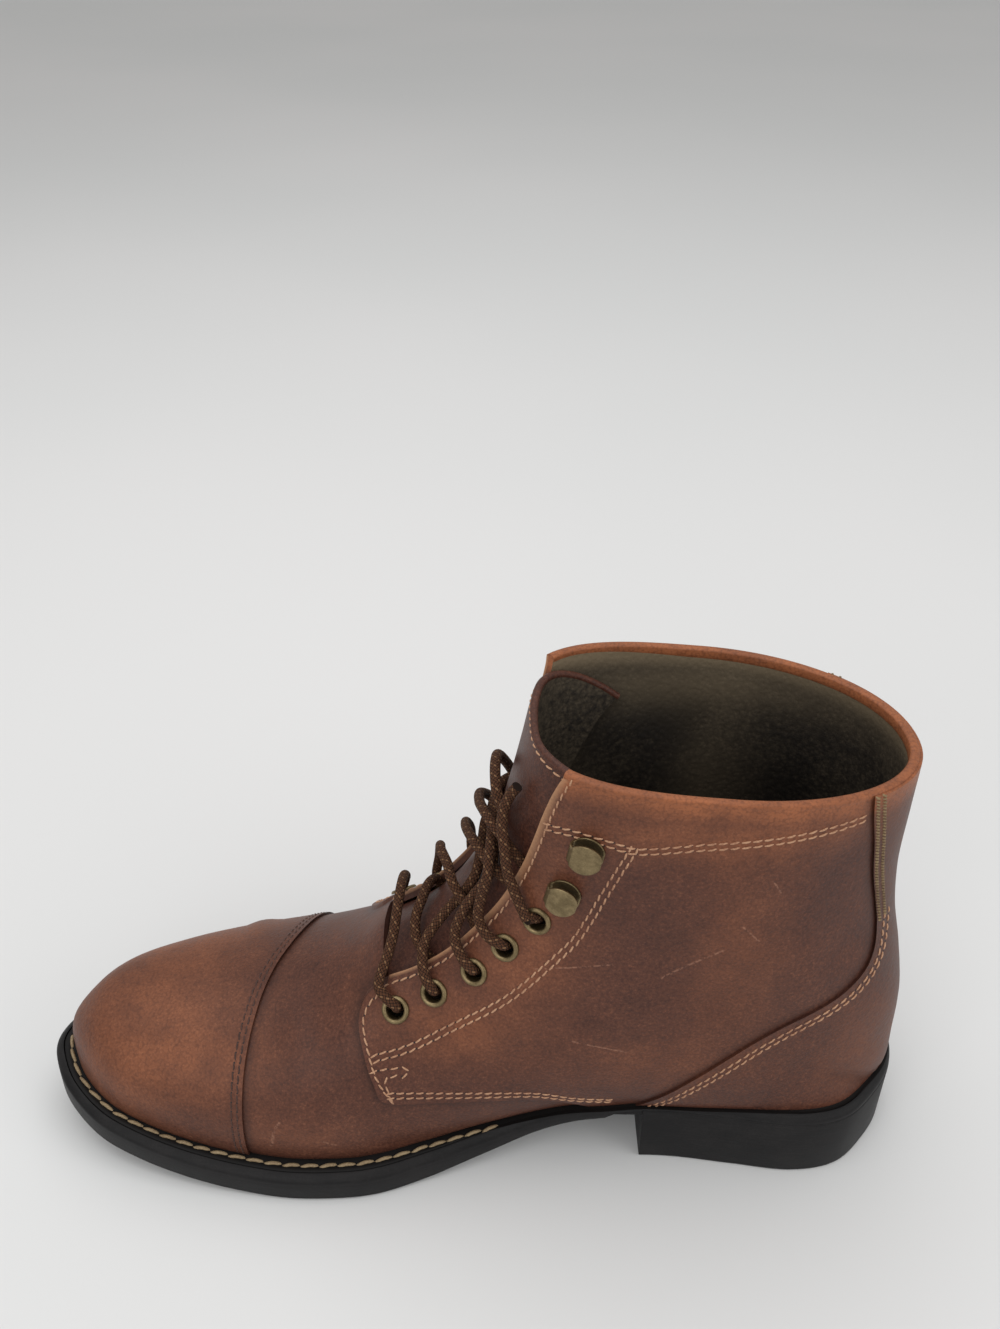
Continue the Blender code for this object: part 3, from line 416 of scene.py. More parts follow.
def half_section(place, side, count=40):
    """One side of a section as a dense line from the lower edge up to the crest."""
    (foot_x, foot_z), (crest_x, crest_z), edges, widths, ridge, belly, shape = section_frame(place)
    pick = 0 if side > 0 else 1
    edge, width, crown, keel = edges[pick], widths[pick], shape[pick], shape[2]
    tuck = max(1.0 - (edge / width) ** keel, 1e-6) if width > 1e-6 else 1.0
    reach = math.asin(math.sqrt(tuck))
    line = []
    for k in range(count + 1):
        drop = math.sin(reach * (1 - k / count)) / math.sqrt(tuck)
        line.append((width * max(1 - tuck * drop**2, 0.0) ** (1 / keel), belly * (1 - drop), 0.0))
    for k in range(1, count + 1):
        angle = math.pi / 2 * k / count
        out = width * max(math.cos(angle), 0.0) ** (2 / crown)
        up = math.sin(angle) ** (2 / crown)
        line.append((out, belly + (1 - belly) * up, math.sin(angle) ** 2))
    points = []
    for out, up, lean in line:
        x = foot_x + (crest_x - foot_x) * up
        z = foot_z + (crest_z - foot_z) * up
        points.append((x - CENTRE_X, side * out + ridge * lean - CENTRE_Y, z))
    return np.array(points)


def walk(line, distances):
    """Points on a dense line at the given distances from its last point, the crest."""
    steps = np.linalg.norm(np.diff(line, axis=0), axis=1)
    run = np.concatenate([[0.0], np.cumsum(steps[::-1])])
    back = line[::-1]
    return np.column_stack([np.interp(distances, run, back[:, axis]) for axis in range(3)])


def line_length(line):
    """Length of a dense line."""
    return float(np.linalg.norm(np.diff(line, axis=0), axis=1).sum())


def half_gap(place):
    """Distance over the leather from the crest to the facing's edge."""
    share = (place - THROAT_ROW) / (COLLAR_ROW - THROAT_ROW)
    if share >= 0:
        return (THROAT_GAP + (COLLAR_GAP - THROAT_GAP) * share) / 2
    return THROAT_GAP / 2 * (1 + 0.25 * share)


def ring(inset, height, stations, x_end=None):
    """A loop round the sole at an inset, from the heel along the inner side and back along the outer."""
    lines = [inset_line(line, inset) for line in (INNER_LINE, OUTER_LINE)]
    starts = max(line[0, 0] for line in lines)
    ends = min(line[-1, 0] for line in lines) if x_end is None else x_end
    sides = []
    for line in lines:
        row = []
        for k in range(stations + 1):
            turn = math.pi * k / stations
            share = (1 - math.cos(turn)) / 2 if x_end is None else 1 - math.cos(turn / 2)
            x = starts + (ends - starts) * share
            row.append((x, np.interp(x, line[:, 0], line[:, 1])))
        sides.append(row)
    heel_y = (sides[0][0][1] + sides[1][0][1]) / 2
    inner = [(sides[0][0][0], heel_y)] + sides[0][1:]
    outer = sides[1][1:]
    if x_end is None:
        toe_y = (sides[0][-1][1] + sides[1][-1][1]) / 2
        inner[-1] = (sides[0][-1][0], toe_y)
        outer = outer[:-1]
    loop = inner + outer[::-1]
    return [(x - CENTRE_X, y - CENTRE_Y, height(x)) for x, y in loop]


def cap_faces(first, size, stations, has_breast):
    """Faces that close a loop, in strips across from the inner side to the outer."""
    top = stations if has_breast else stations - 1
    faces = [(first, first + 1, first + size - 1)]
    for k in range(1, top):
        faces.append((first + k, first + k + 1, first + size - k - 1, first + size - k))
    if not has_breast:
        faces.append((first + top, first + top + 1, first + top + 2))
    return faces


def band_faces(low, high, size):
    """Faces between two loops with the same number of points."""
    return [(low + k, low + (k + 1) % size, high + (k + 1) % size, high + k) for k in range(size)]


def groove_inner(x):
    """Inset of the inner wall of the channel that holds the welt."""
    return ledge(x) + WALL + WELT_TUCK


def seat(place, side, inset):
    """A point on the vamp layer's skin and the directions along the facing, across it and out of it."""
    reach = half_gap(place) + inset
    row, apart = 0.3, 0.003
    lines = [half_section(place + turn, side) for turn in (-row, 0, row)]
    here = walk(lines[1], [reach])[0]
    along = walk(lines[2], [reach])[0] - walk(lines[0], [reach])[0]
    towards, away = walk(lines[1], [reach - apart, reach + apart])
    normal = np.cross(along, away - towards)
    normal *= np.sign(normal.dot((0.0, side, 1.0))) / np.linalg.norm(normal)
    along -= normal * along.dot(normal)
    along /= np.linalg.norm(along)
    return here, along, np.cross(normal, along), normal


def seat_matrix(place, side, inset, lift):
    """Where a turned piece sits: its axis out of the leather, its foot at a height over the skin."""
    here, along, across, normal = seat(place, side, inset)
    matrix = Matrix.Identity(4)
    for column, axis in enumerate((along, across, normal)):
        for row in range(3):
            matrix[row][column] = axis[row]
    for row in range(3):
        matrix[row][3] = (here + normal * lift)[row]
    return matrix



def lace_point(place, side, inset, height):
    """A point of the lace at a height over the vamp layer's skin."""
    here, _, _, normal = seat(place, side, inset)
    return here + normal * height


@functools.lru_cache(maxsize=None)
def last_line(place, side):
    """A half section of the last, kept for later reads."""
    return half_section(place, side)


def section_ring(place):
    """Points over one section, from the inner lower edge over the crest to the outer lower edge."""
    halves = []
    for side in (1, -1):
        line = last_line(place, side)
        total = line_length(line)
        gap = min(half_gap(place), 0.45 * total)
        crown = np.linspace(0, gap, CROWN_COLUMNS // 2 + 1)
        flank = gap + (total - gap) * np.linspace(0, 1, FLANK_COLUMNS + 1)[1:]
        halves.append(walk(line, np.concatenate([crown, flank])))
    return np.vstack([halves[0][::-1], halves[1][1:]])


def point_normals(points, quads):
    """Area-weighted normals of the points of a quad grid."""
    corners = np.asarray(quads)
    a, b, c, d = (points[corners[:, k]] for k in range(4))
    faces = np.cross(c - a, d - b)
    normals = np.zeros_like(points)
    for k in range(4):
        np.add.at(normals, corners[:, k], faces)
    return normals / np.maximum(np.linalg.norm(normals, axis=1), 1e-12)[:, None]


def line_distance(points, line):
    """Distance of each point to a polyline, in as many dimensions as both have."""
    points, line = np.asarray(points), np.asarray(line)
    best = np.full(len(points), 1e9)
    for start, end in zip(line[:-1], line[1:]):
        run = end - start
        share = np.clip((points - start) @ run / max(run @ run, 1e-18), 0, 1)
        best = np.minimum(best, np.linalg.norm(points - start - share[:, None] * run, axis=1))
    return best


# Soft hollows (below 0) and ridges of the leather: side, width and depth in metres, then a line in the side
# view as shares of the sole length and the collar height.
CREASES = [
    (1, 0.0100, -0.0007, [(0.330, 0.800), (0.300, 0.640), (0.240, 0.500)]),
    (1, 0.0110, 0.0007, [(0.235, 0.800), (0.215, 0.640), (0.150, 0.520)]),
    (1, 0.0080, -0.0006, [(0.130, 0.820), (0.120, 0.700), (0.110, 0.600)]),
    (1, 0.0070, -0.0005, [(0.470, 0.330), (0.420, 0.400), (0.380, 0.480)]),
    (1, 0.0060, -0.0004, [(0.665, 0.330), (0.650, 0.260), (0.655, 0.190)]),
    (1, 0.0050, 0.0003, [(0.690, 0.320), (0.680, 0.250), (0.680, 0.180)]),
    (-1, 0.0100, -0.0007, [(0.320, 0.800), (0.290, 0.640), (0.240, 0.500)]),
    (-1, 0.0110, 0.0006, [(0.230, 0.800), (0.210, 0.640), (0.160, 0.500)]),
    (-1, 0.0070, -0.0005, [(0.460, 0.330), (0.410, 0.400), (0.370, 0.480)]),
]


def leather_relief(points):
    """Height of the listed creases at each point of the last's skin."""
    height = np.zeros(len(points))
    for side, width, depth, line in CREASES:
        path = [(x * SOLE_LENGTH - CENTRE_X, z * COLLAR_HEIGHT) for x, z in line]
        far = line_distance(points[:, (0, 2)], path)
        reach = np.clip(points[:, 1] * side / 0.012, 0, 1)
        height += depth * np.exp(-(far / width) ** 2) * reach
    return height


def last_skin(first, last):
    """A dense grid over the leather between two rows of the last: points, quads and normals."""
    places = [first + k / SKIN_STEPS for k in range(int(round((last - first) * SKIN_STEPS)) + 1)]
    rings = [section_ring(place) for place in places]
    columns = len(rings[0])
    ids = np.zeros((len(rings), columns), dtype=int)
    points = []
    for i, loop in enumerate(rings):
        for j, point in enumerate(loop):
            twin = columns - 1 - j
            if places[i] == 0 and j > twin:
                ids[i, j] = ids[i, twin]
            elif places[i] >= HEEL_ROW and j == columns - 1:
                ids[i, j] = ids[i, 0]
            else:
                ids[i, j] = len(points)
                points.append(point)
    points = np.array(points)
    kept, throat = [], []
    for i in range(len(rings) - 1):
        for j in range(columns - 1):
            quad = (ids[i, j], ids[i + 1, j], ids[i + 1, j + 1], ids[i, j + 1])
            in_throat = places[i] >= THROAT_ROW and FLANK_COLUMNS <= j < FLANK_COLUMNS + CROWN_COLUMNS
            (throat if in_throat else kept).append(quad)
    normals = point_normals(points, kept + throat)
    for i, place in enumerate(places):
        for k in (ids[i, 0], ids[i, -1]) if place <= HEEL_ROW else ():
            normals[k, 2] = 0.0
    rim = rings[-1][columns // 2] - rings[-1][0]
    if last == COLLAR_ROW:
        across = np.array([rim[2], 0.0, -rim[0]]) / math.hypot(rim[0], rim[2])
        for k in ids[-1]:
            normals[k] -= across * normals[k].dot(across)
    normals /= np.linalg.norm(normals, axis=1)[:, None]
    points = points + normals * leather_relief(points)[:, None]
    return points, kept, normals


# Objects


def new_object(name, points, faces, materials=(), slots=None, smooth_angle=40):
    """An object from points and faces, smooth but for its sharp edges."""
    mesh = bpy.data.meshes.new(name)
    mesh.from_pydata([tuple(map(float, p)) for p in points], [], [tuple(map(int, f)) for f in faces])
    for material in materials:
        mesh.materials.append(material)
    if slots is not None:
        mesh.polygons.foreach_set("material_index", np.asarray(slots, dtype=np.int32))
    mesh.shade_smooth()
    mesh.set_sharp_from_angle(angle=math.radians(smooth_angle))
    thing = bpy.data.objects.new(name, mesh)
    bpy.context.scene.collection.objects.link(thing)
    return thing


def turn_outwards(thing):
    """Turn a closed piece's faces outwards."""
    body = bmesh.new()
    body.from_mesh(thing.data)
    bmesh.ops.recalc_face_normals(body, faces=body.faces)
    body.to_mesh(thing.data)
    body.free()
    return thing


def baked(thing, *spent, smooth_angle=40):
    """The piece with its modifiers worked into a plain mesh; what it was cut with is removed."""
    bpy.context.view_layer.update()
    graph = bpy.context.evaluated_depsgraph_get()
    mesh = bpy.data.meshes.new_from_object(thing.evaluated_get(graph), depsgraph=graph)
    mesh.name = thing.name
    thing.modifiers.clear()
    thing.data = mesh
    mesh.shade_smooth()
    mesh.set_sharp_from_angle(angle=math.radians(smooth_angle))
    for other in spent:
        bpy.data.objects.remove(other, do_unlink=True)
    return thing


def wall(name, skin, low, high, materials):
    """A closed wall between two offsets of a skin; outside, inside and rim take the three materials."""
    points, quads, normals = skin
    quads = [tuple(dict.fromkeys(quad)) for quad in quads]
    quads = [quad for quad in quads if len(quad) > 2]
    count = len(points)
    faces = quads + [tuple(k + count for k in quad[::-1]) for quad in quads]
    slots = [0] * len(quads) + [1] * len(quads)
    edges = {(quad[k], quad[(k + 1) % len(quad)]) for quad in quads for k in range(len(quad))}
    for a, b in sorted(edges):
        if (b, a) not in edges:
            faces.append((b, a, a + count, b + count))
            slots.append(2)
    used = sorted({k for face in faces for k in face})
    remap = {k: n for n, k in enumerate(used)}
    both = np.vstack([points + normals * high, points + normals * low])[used]
    return new_object(name, both, [[remap[k] for k in face] for face in faces], materials, slots)


def cut(thing, operand, operation):
    """Cut or trim a piece with another, keeping the other's material on the faces that it leaves."""
    modifier = thing.modifiers.new(operand.name, "BOOLEAN")
    modifier.operation = operation
    modifier.solver = "MANIFOLD"
    modifier.material_mode = "TRANSFER"
    modifier.object = operand


def prism(name, low, high, material):
    """A trimming form between two outlines with the same number of points."""
    count = len(low)
    faces = [tuple(range(count)), tuple(range(2 * count - 1, count - 1, -1))]
    faces += [(k, (k + 1) % count, count + (k + 1) % count, count + k) for k in range(count)]
    return turn_outwards(new_object(name, low + high, faces, [material]))


def side_prism(name, outline, material):
    """A trimming form from an outline in the side view, reaching right through the boot."""
    sides = [[(x * SOLE_LENGTH - CENTRE_X, side * BALL_WIDTH, z * COLLAR_HEIGHT) for x, z in outline]
             for side in (1, -1)]
    return prism(name, sides[0], sides[1], material)


def plan_prism(name, outline, material):
    """A trimming form from an outline seen from above, through the boot's whole height."""
    levels = [[(x * SOLE_LENGTH - CENTRE_X, y * BALL_WIDTH - CENTRE_Y, z) for x, y in outline]
              for z in (-HEEL_HEIGHT, COLLAR_HEIGHT + HEEL_HEIGHT)]
    return prism(name, levels[0], levels[1], material)


def turned_form(profile, sides, is_ring):
    """Points and faces turned from a (radius, height) profile about Z."""
    points, faces = [], []
    count = len(profile)
    for k in range(sides):
        turn = 2 * math.pi * k / sides
        points += [(radius * math.cos(turn), radius * math.sin(turn), height) for radius, height in profile]
    steps = count if is_ring else count - 1
    for k in range(sides):
        near, far = k * count, ((k + 1) % sides) * count
        for level in range(steps):
            up = (level + 1) % count
            faces.append((near + level, far + level, far + up, near + up))
    if not is_ring:
        faces.append(tuple(k * count for k in range(sides))[::-1])
        faces.append(tuple(k * count + count - 1 for k in range(sides)))
    return points, faces


def placed(points, matrix):
    """Points moved by a matrix."""
    return [tuple(matrix @ Vector(point)) for point in points]


def gathered(name, forms, materials, smooth_angle=40):
    """One object from several (points, faces) forms, its faces turned outwards."""
    points, faces = [], []
    for form_points, form_faces in forms:
        first = len(points)
        points += list(form_points)
        faces += [tuple(k + first for k in face) for face in form_faces]
    return turn_outwards(new_object(name, points, faces, materials, smooth_angle=smooth_angle))


def finished(thing, slot, *nodes):
    """Put a piece on the boot's body, and let it stand for its solids, which are hidden. The slot, a finish's
    name, is not used.
    """
    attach(thing, "root")
    if nodes:
        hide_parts(*nodes)
    return thing


# Shader and node trees


def linear(red, green, blue):
    """A colour of the photograph, 0 to 255 a channel, as the renderer's own values."""
    channels = [value / 255 for value in (red, green, blue)]
    return tuple(c / 12.92 if c <= 0.04045 else ((c + 0.055) / 1.055) ** 2.4 for c in channels) + (1.0,)


def add_node(tree, kind, settings, values, output=0):
    """A node with its settings, then its values or links; one of its outputs comes back."""
    node = tree.nodes.new(kind)
    for name, value in settings.items():
        setattr(node, name, value)
    for key, value in values.items():
        if isinstance(value, Wire):
            tree.links.new(value.socket, node.inputs[key])
        else:
            node.inputs[key].default_value = value
    return Wire(tree, node.outputs[output])


class Wire:
    """An output socket that takes part in plain arithmetic."""

    def __init__(self, tree, socket):
        self.tree = tree
        self.socket = socket

    def node(self, kind, settings, values, output=0):
        """Any other node of the same tree."""
        return add_node(self.tree, kind, settings, values, output)

    def maths(self, operation, *others, first=None):
        """A Math node with this socket, and others after it, or first before it."""
        values = (self, *others) if first is None else (first, self)
        return self.node("ShaderNodeMath", {"operation": operation}, dict(enumerate(values)))

    def __add__(self, other):
        return self.maths("ADD", other)

    __radd__ = __add__

    def __mul__(self, other):
        return self.maths("MULTIPLY", other)

    __rmul__ = __mul__

    def __sub__(self, other):
        return self.maths("SUBTRACT", other)

    def __rsub__(self, other):
        return self.maths("SUBTRACT", first=other)

    def between(self, low, high):
        """0 below low, 1 above high, and a soft step from one to the other."""
        settings = {"interpolation_type": "SMOOTHSTEP"}
        return self.node("ShaderNodeMapRange", settings, {"Value": self, 1: low, 2: high, 3: 0.0, 4: 1.0})

    def clamped(self):
        """The value held from 0 to 1."""
        return self.node("ShaderNodeMath", {"operation": "ADD", "use_clamp": True}, {0: self, 1: 0.0})

    def blend(self, start, end):
        """A colour from start to end as this value goes from 0 to 1."""
        return self.node("ShaderNodeMix", {"data_type": "RGBA"}, {0: self, 6: start, 7: end}, 2)

    def part(self, axis):
        """One axis of a vector."""
        return self.node("ShaderNodeSeparateXYZ", {}, {0: self}, axis)


class Finish:
    """A material in the making: its tree, its coordinates and its patterns."""

    def __init__(self, name):
        self.material = bpy.data.materials.new(name)
        self.material.use_nodes = True
        self.tree = self.material.node_tree
        self.shader = self.tree.nodes["Principled BSDF"]
        self.place = add_node(self.tree, "ShaderNodeTexCoord", {}, {}, 3)

    def noise(self, size, detail=3.0, rough=0.55, place=None):
        """Cloudy noise with features of about a size in metres."""
        values = {"Vector": place or self.place, "Scale": 1 / size, "Detail": detail, "Roughness": rough}
        return add_node(self.tree, "ShaderNodeTexNoise", {}, values)

    def cells(self, size, feature="F1", place=None):
        """Distance in a field of small cells of about a size in metres."""
        values = {"Vector": place or self.place, "Scale": 1 / size}
        return add_node(self.tree, "ShaderNodeTexVoronoi", {"feature": feature}, values)

    def mark(self, name):
        """A value painted on the piece's points."""
        return add_node(self.tree, "ShaderNodeAttribute", {"attribute_name": name}, {}, 2)

    def stretched(self, x, y, z, turn=(0.0, 0.0, 0.0)):
        """The coordinates scaled along the axes, and turned."""
        return add_node(self.tree, "ShaderNodeMapping", {}, {0: self.place, 2: turn, 3: (x, y, z)})

    def set(self, **values):
        """Set or link sockets of the main shader, named with _ for a space."""
        for key, value in values.items():
            socket = self.shader.inputs[key.replace("_", " ")]
            if isinstance(value, Wire):
                self.tree.links.new(value.socket, socket)
            else:
                socket.default_value = value
        return self

    def bump(self, height, depth, strength=1.0, below=None):
        """A relief of a depth in metres, on top of another one."""
        values = {"Strength": strength, "Distance": depth, "Height": height}
        if below:
            values["Normal"] = below
        return add_node(self.tree, "ShaderNodeBump", {}, values)


# Finishes

# Colours read off the photograph
LEATHER_DARK = linear(60, 34, 27)
LEATHER_MID = linear(90, 54, 41)
LEATHER_LIGHT = linear(128, 84, 63)
# Colour of pulled-up leather, also used for painted highlights
LEATHER_PULLED_AND_LIT = linear(166, 100, 62)
LEATHER_RAW = linear(178, 134, 100)
SEAM_SHADE = linear(46, 28, 24)
LINING_DARK = linear(26, 22, 19)
LINING_LIGHT = linear(84, 74, 60)
THREAD_LIGHT = linear(190, 148, 116)
THREAD_DARK = linear(74, 46, 36)
THREAD_OLIVE = linear(140, 118, 84)
THREAD_WELT = linear(158, 138, 106)
# Dark colour set in the stitch holes as their painted shade
PINHOLE_SHADE = linear(30, 19, 16)
RUBBER = linear(17, 16, 17)
RUBBER_WORN = linear(36, 34, 34)
WELT_BLACK = linear(18, 16, 15)
BRASS = linear(150, 132, 98)
BRASS_DARK = linear(104, 90, 64)
LACE_BROWN = linear(84, 54, 36)
# Painted shade in the valleys between the lace's yarns
LACE_VALLEY_SHADE = linear(34, 22, 17)
LACE_TAN = linear(136, 102, 72)
FLOOR_GREY = linear(226, 226, 226)

# Scuffs on the inner side: start and end in the side view as shares, and half-width in metres
SCUFFS = [
    ((0.716, 0.170), (0.722, 0.118), 0.00035),
    ((0.716, 0.170), (0.709, 0.190), 0.00030),
    ((0.664, 0.142), (0.648, 0.128), 0.00022),
    ((0.770, 0.160), (0.768, 0.158), 0.00060),
    ((0.300, 0.560), (0.240, 0.640), 0.00025),
    ((0.430, 0.560), (0.350, 0.590), 0.00018),
    ((0.390, 0.400), (0.330, 0.370), 0.00022),
    ((0.225, 0.700), (0.205, 0.660), 0.00020),
    ((0.200, 0.800), (0.190, 0.770), 0.00018),
]


def scuff_mask(finish):
    """1 on the light scuffs of the inner side, 0 elsewhere."""
    x, y, z = (finish.place.part(axis) for axis in range(3))
    broken = finish.noise(0.0011, 2.0)
    mask = None
    for start, end, width in SCUFFS:
        ax, az = start[0] * SOLE_LENGTH - CENTRE_X, start[1] * COLLAR_HEIGHT
        bx, bz = end[0] * SOLE_LENGTH - CENTRE_X, end[1] * COLLAR_HEIGHT
        length = math.hypot(bx - ax, bz - az)
        ux, uz = (bx - ax) / length, (bz - az) / length
        along = (x - ax) * ux + (z - az) * uz
        across = ((x - ax) * uz - (z - az) * ux).maths("ABSOLUTE")
        inside = (1 - across.between(width * 0.4, width * 2.2)) * along.between(-0.0004, 0.0006)
        inside = inside * (1 - along.between(length - 0.0006, length + 0.0004))
        mask = inside if mask is None else mask.maths("MAXIMUM", inside)
    return mask * y.between(0.0, 0.004) * broken.between(0.35, 0.60)


def leather_finish(name, shade=0.0, scuffed=False):
    """Waxed pull-up leather: cloudy brown, lighter where it is bent and where a highlight is painted, darker
    in a seam's painted shade, with a fine grain.
    """
    finish = Finish(name)
    cloud = finish.noise(0.045, 3.0)
    mottle = finish.noise(0.011, 4.0, 0.62)
    fleck = finish.noise(0.0011, 2.0, 0.7)
    pore = finish.cells(0.00085)
    grain = finish.noise(0.00055, 3.0, 0.75)
    crackle = finish.cells(0.0016, "SMOOTH_F1")
    pull_and_highlight, shadow, bare = finish.mark("pull_and_highlight"), finish.mark("shadow"), finish.mark("bare")
    tone = cloud * 0.18 + mottle * 0.24 + fleck * 0.58 + shade + pull_and_highlight * 0.08
    colour = tone.between(0.28, 0.60).blend(LEATHER_DARK, LEATHER_MID)
    colour = tone.between(0.52, 0.80).blend(colour, LEATHER_LIGHT)
    # Pulled-up leather and painted highlights blend to the light orange
    warm = (pull_and_highlight * (mottle.between(0.22, 0.72) * 0.40 + 0.42)).clamped()
    colour = warm.blend(colour, LEATHER_PULLED_AND_LIT)
    if scuffed:
        colour = (scuff_mask(finish) * 0.40).blend(colour, linear(176, 130, 106))
    colour = (pore.between(0.45, 0.80) * 0.30).blend(colour, LEATHER_DARK)
    colour = (grain.between(0.56, 0.74) * 0.30).blend(colour, LEATHER_LIGHT)
    colour = (shadow * 0.62).blend(colour, SEAM_SHADE)
    colour = (bare * (fleck * 0.5 + 0.6)).clamped().blend(colour, LEATHER_RAW)
    relief = finish.bump(crackle * 0.5 + pore * 0.3 + grain * 0.5, 0.00030, 0.50)
    relief = finish.bump(mottle, 0.0012, 0.20, relief)
    roughness = 0.47 + (fleck - 0.5) * 0.26 + (mottle - 0.5) * 0.16
    finish.set(Base_Color=colour, Roughness=roughness, Normal=relief)
    finish.set(Specular_IOR_Level=0.26)
    return finish.material


def lining_finish(name, low, high):
    """Dark olive pebbled lining, with a little painted highlight on its pebbles and specks."""
    finish = Finish(name)
    cloud = finish.noise(0.030, 3.0)
    pebble = finish.cells(0.0016, "SMOOTH_F1")
    speck = finish.noise(0.0008, 2.0, 0.7)
    # Pebble tops painted lighter as a highlight; the specks are lighter, partly as a painted sheen
    tone = cloud * 0.5 + speck * 0.35 + (1 - pebble) * 0.25
    colour = tone.between(low, high).blend(LINING_DARK, LINING_LIGHT)
    # The lining painted lighter near the collar's top, by the pull and highlight mark
    colour = (finish.mark("pull_and_highlight") * 0.8).clamped().blend(colour, linear(132, 116, 92))
    relief = finish.bump(pebble + speck * 0.4, 0.0004, 0.55)
    finish.set(Base_Color=colour, Roughness=0.72 + (speck - 0.5) * 0.3, Normal=relief)
    finish.set(Specular_IOR_Level=0.3)
    return finish.material


def rubber_finish(name, colour, worn, roughness):
    """Moulded black rubber, a little dusty, with a fine satin skin."""
    finish = Finish(name)
    dust = finish.noise(0.014, 4.0, 0.6)
    grain = finish.noise(0.0007, 3.0, 0.7)
    brushed = add_node(finish.tree, "ShaderNodeTexNoise", {},
                       {"Vector": finish.stretched(0.12, 0.12, 1.6), "Scale": 900.0, "Detail": 2.0})
    tone = dust * 0.5 + grain * 0.3 + brushed * 0.2
    relief = finish.bump(grain * 0.7 + brushed * 0.3, 0.0002, 0.35)
    finish.set(Base_Color=tone.between(0.38, 0.72).blend(colour, worn), Normal=relief)
    finish.set(Roughness=roughness + (dust - 0.5) * 0.25, Specular_IOR_Level=0.22)
    return finish.material


def brass_finish():
    """Aged brass with dull patches."""
    finish = Finish("aged_brass_worn")
    patch = finish.noise(0.0032, 4.0, 0.65)
    grain = finish.noise(0.0005, 2.0)
    tone = (patch * 0.75 + grain * 0.25).between(0.28, 0.76)
    relief = finish.bump(grain, 0.00006, 0.4)
    finish.set(Base_Color=tone.blend(BRASS_DARK, BRASS), Roughness=0.46 - tone * 0.14, Normal=relief)
    finish.set(Metallic=0.92)
    return finish.material


def thread_finish(name, colour, dark):
    """Twisted waxed thread."""
    finish = Finish(name)
    fleck = finish.noise(0.0006, 2.0, 0.7)
    broad = finish.noise(0.012, 2.0)
    tone = (fleck * 0.6 + broad * 0.4).between(0.30, 0.62)
    relief = finish.bump(fleck, 0.0001, 0.5)
    finish.set(Base_Color=tone.blend(dark, colour), Roughness=0.7, Normal=relief)
    return finish.material


def lace_finish():
    """Round braided cord: crossing diagonal yarns, brown with tan flecks, with painted shade in the valleys
    between the yarns.
    """
    finish = Finish("brown_cord_braided")
    chart = add_node(finish.tree, "ShaderNodeUVMap", {"uv_map": "lace"}, {})
    around, along = chart.part(0) * 8, chart.part(1) * 7.5
    left, right = around + along, along - around
    cell = left.maths("FLOOR") + right.maths("FLOOR")
    over = cell.maths("MODULO", 2.0).maths("ABSOLUTE").between(0.4, 0.6)
    ridge_left = (left * math.pi).maths("SINE").maths("ABSOLUTE")
    ridge_right = (right * math.pi).maths("SINE").maths("ABSOLUTE")
    ridge = over * ridge_left + (1 - over) * ridge_right
    fleck = finish.noise(0.0005, 2.0, 0.7)
    row = left.maths("FLOOR").maths("MODULO", 3.0).maths("ABSOLUTE").between(1.6, 1.9) * over
    # Painted shade: the valleys between the yarns' ridges blend to the dark colour
    colour = (ridge * 0.7 + fleck * 0.4).between(0.25, 0.85).blend(LACE_VALLEY_SHADE, LACE_BROWN)
    colour = (row * ridge_left.between(0.35, 0.8) * 0.75).blend(colour, LACE_TAN)
    relief = finish.bump(ridge + fleck * 0.25, 0.00035, 0.9)
    finish.set(Base_Color=colour, Roughness=0.85, Specular_IOR_Level=0.2, Normal=relief)
    return finish.material


def floor_finish():
    """Plain pale studio floor."""
    finish = Finish("studio_floor")
    haze = finish.noise(0.8, 2.0)
    colour = haze.between(0.3, 0.7).blend(linear(222, 223, 223), FLOOR_GREY)
    finish.set(Base_Color=colour, Roughness=0.9, Specular_IOR_Level=0.1)
    return finish.material


# Marks painted on the points

# Places where the leather is lighter, partly pulled up and partly a painted highlight: side (0 for both),
# place in the side view as shares, reach along and up in metres, and strength
PULLED_AND_LIT = [
    (0, 0.520, 0.400, 0.026, 0.012, 0.42),
    (0, 0.455, 0.560, 0.018, 0.016, 0.36),
    (0, 0.420, 0.720, 0.013, 0.018, 0.30),
    (0, 0.250, 0.900, 0.060, 0.010, 0.42),
    (0, 0.225, 0.620, 0.014, 0.035, 0.26),
    (0, 0.300, 0.330, 0.030, 0.014, 0.20),
    (0, 0.840, 0.280, 0.034, 0.012, 0.50),
    (0, 0.900, 0.180, 0.022, 0.016, 0.30),
    (0, 0.060, 0.300, 0.016, 0.024, 0.22),
    (1, 0.700, 0.150, 0.024, 0.008, 0.24),
]
# Lightening at the collar's edge: pulled-up leather and painted highlight
RIM_PULL_AND_LIGHT = 1.0
RIM_REACH = 0.0070
BARE_REACH = 0.0006


def panel_lines():
    """The panels' edges: the cap's from above, the quarters' and the counter's from the side, in metres."""
    cap = [(x * SOLE_LENGTH - CENTRE_X, y * BALL_WIDTH - CENTRE_Y) for x, y in CAP_EDGE]
    sides = [[(x * SOLE_LENGTH - CENTRE_X, z * COLLAR_HEIGHT) for x, z in edge]
             for edge in (QUARTER_EDGE, COUNTER_EDGE)]
    return np.array(cap), np.array(sides[0]), np.array(sides[1])


def rim_drop(points):
    """Distance of each point under the plane of the collar's edge."""
    (foot_x, foot_z), (crest_x, crest_z), *_ = section_frame(COLLAR_ROW)
    run = np.array([crest_x - foot_x, crest_z - foot_z])
    run /= np.linalg.norm(run)
    away = points[:, (0, 2)] - (foot_x - CENTRE_X, foot_z)
    return run[1] * away[:, 0] - run[0] * away[:, 1]


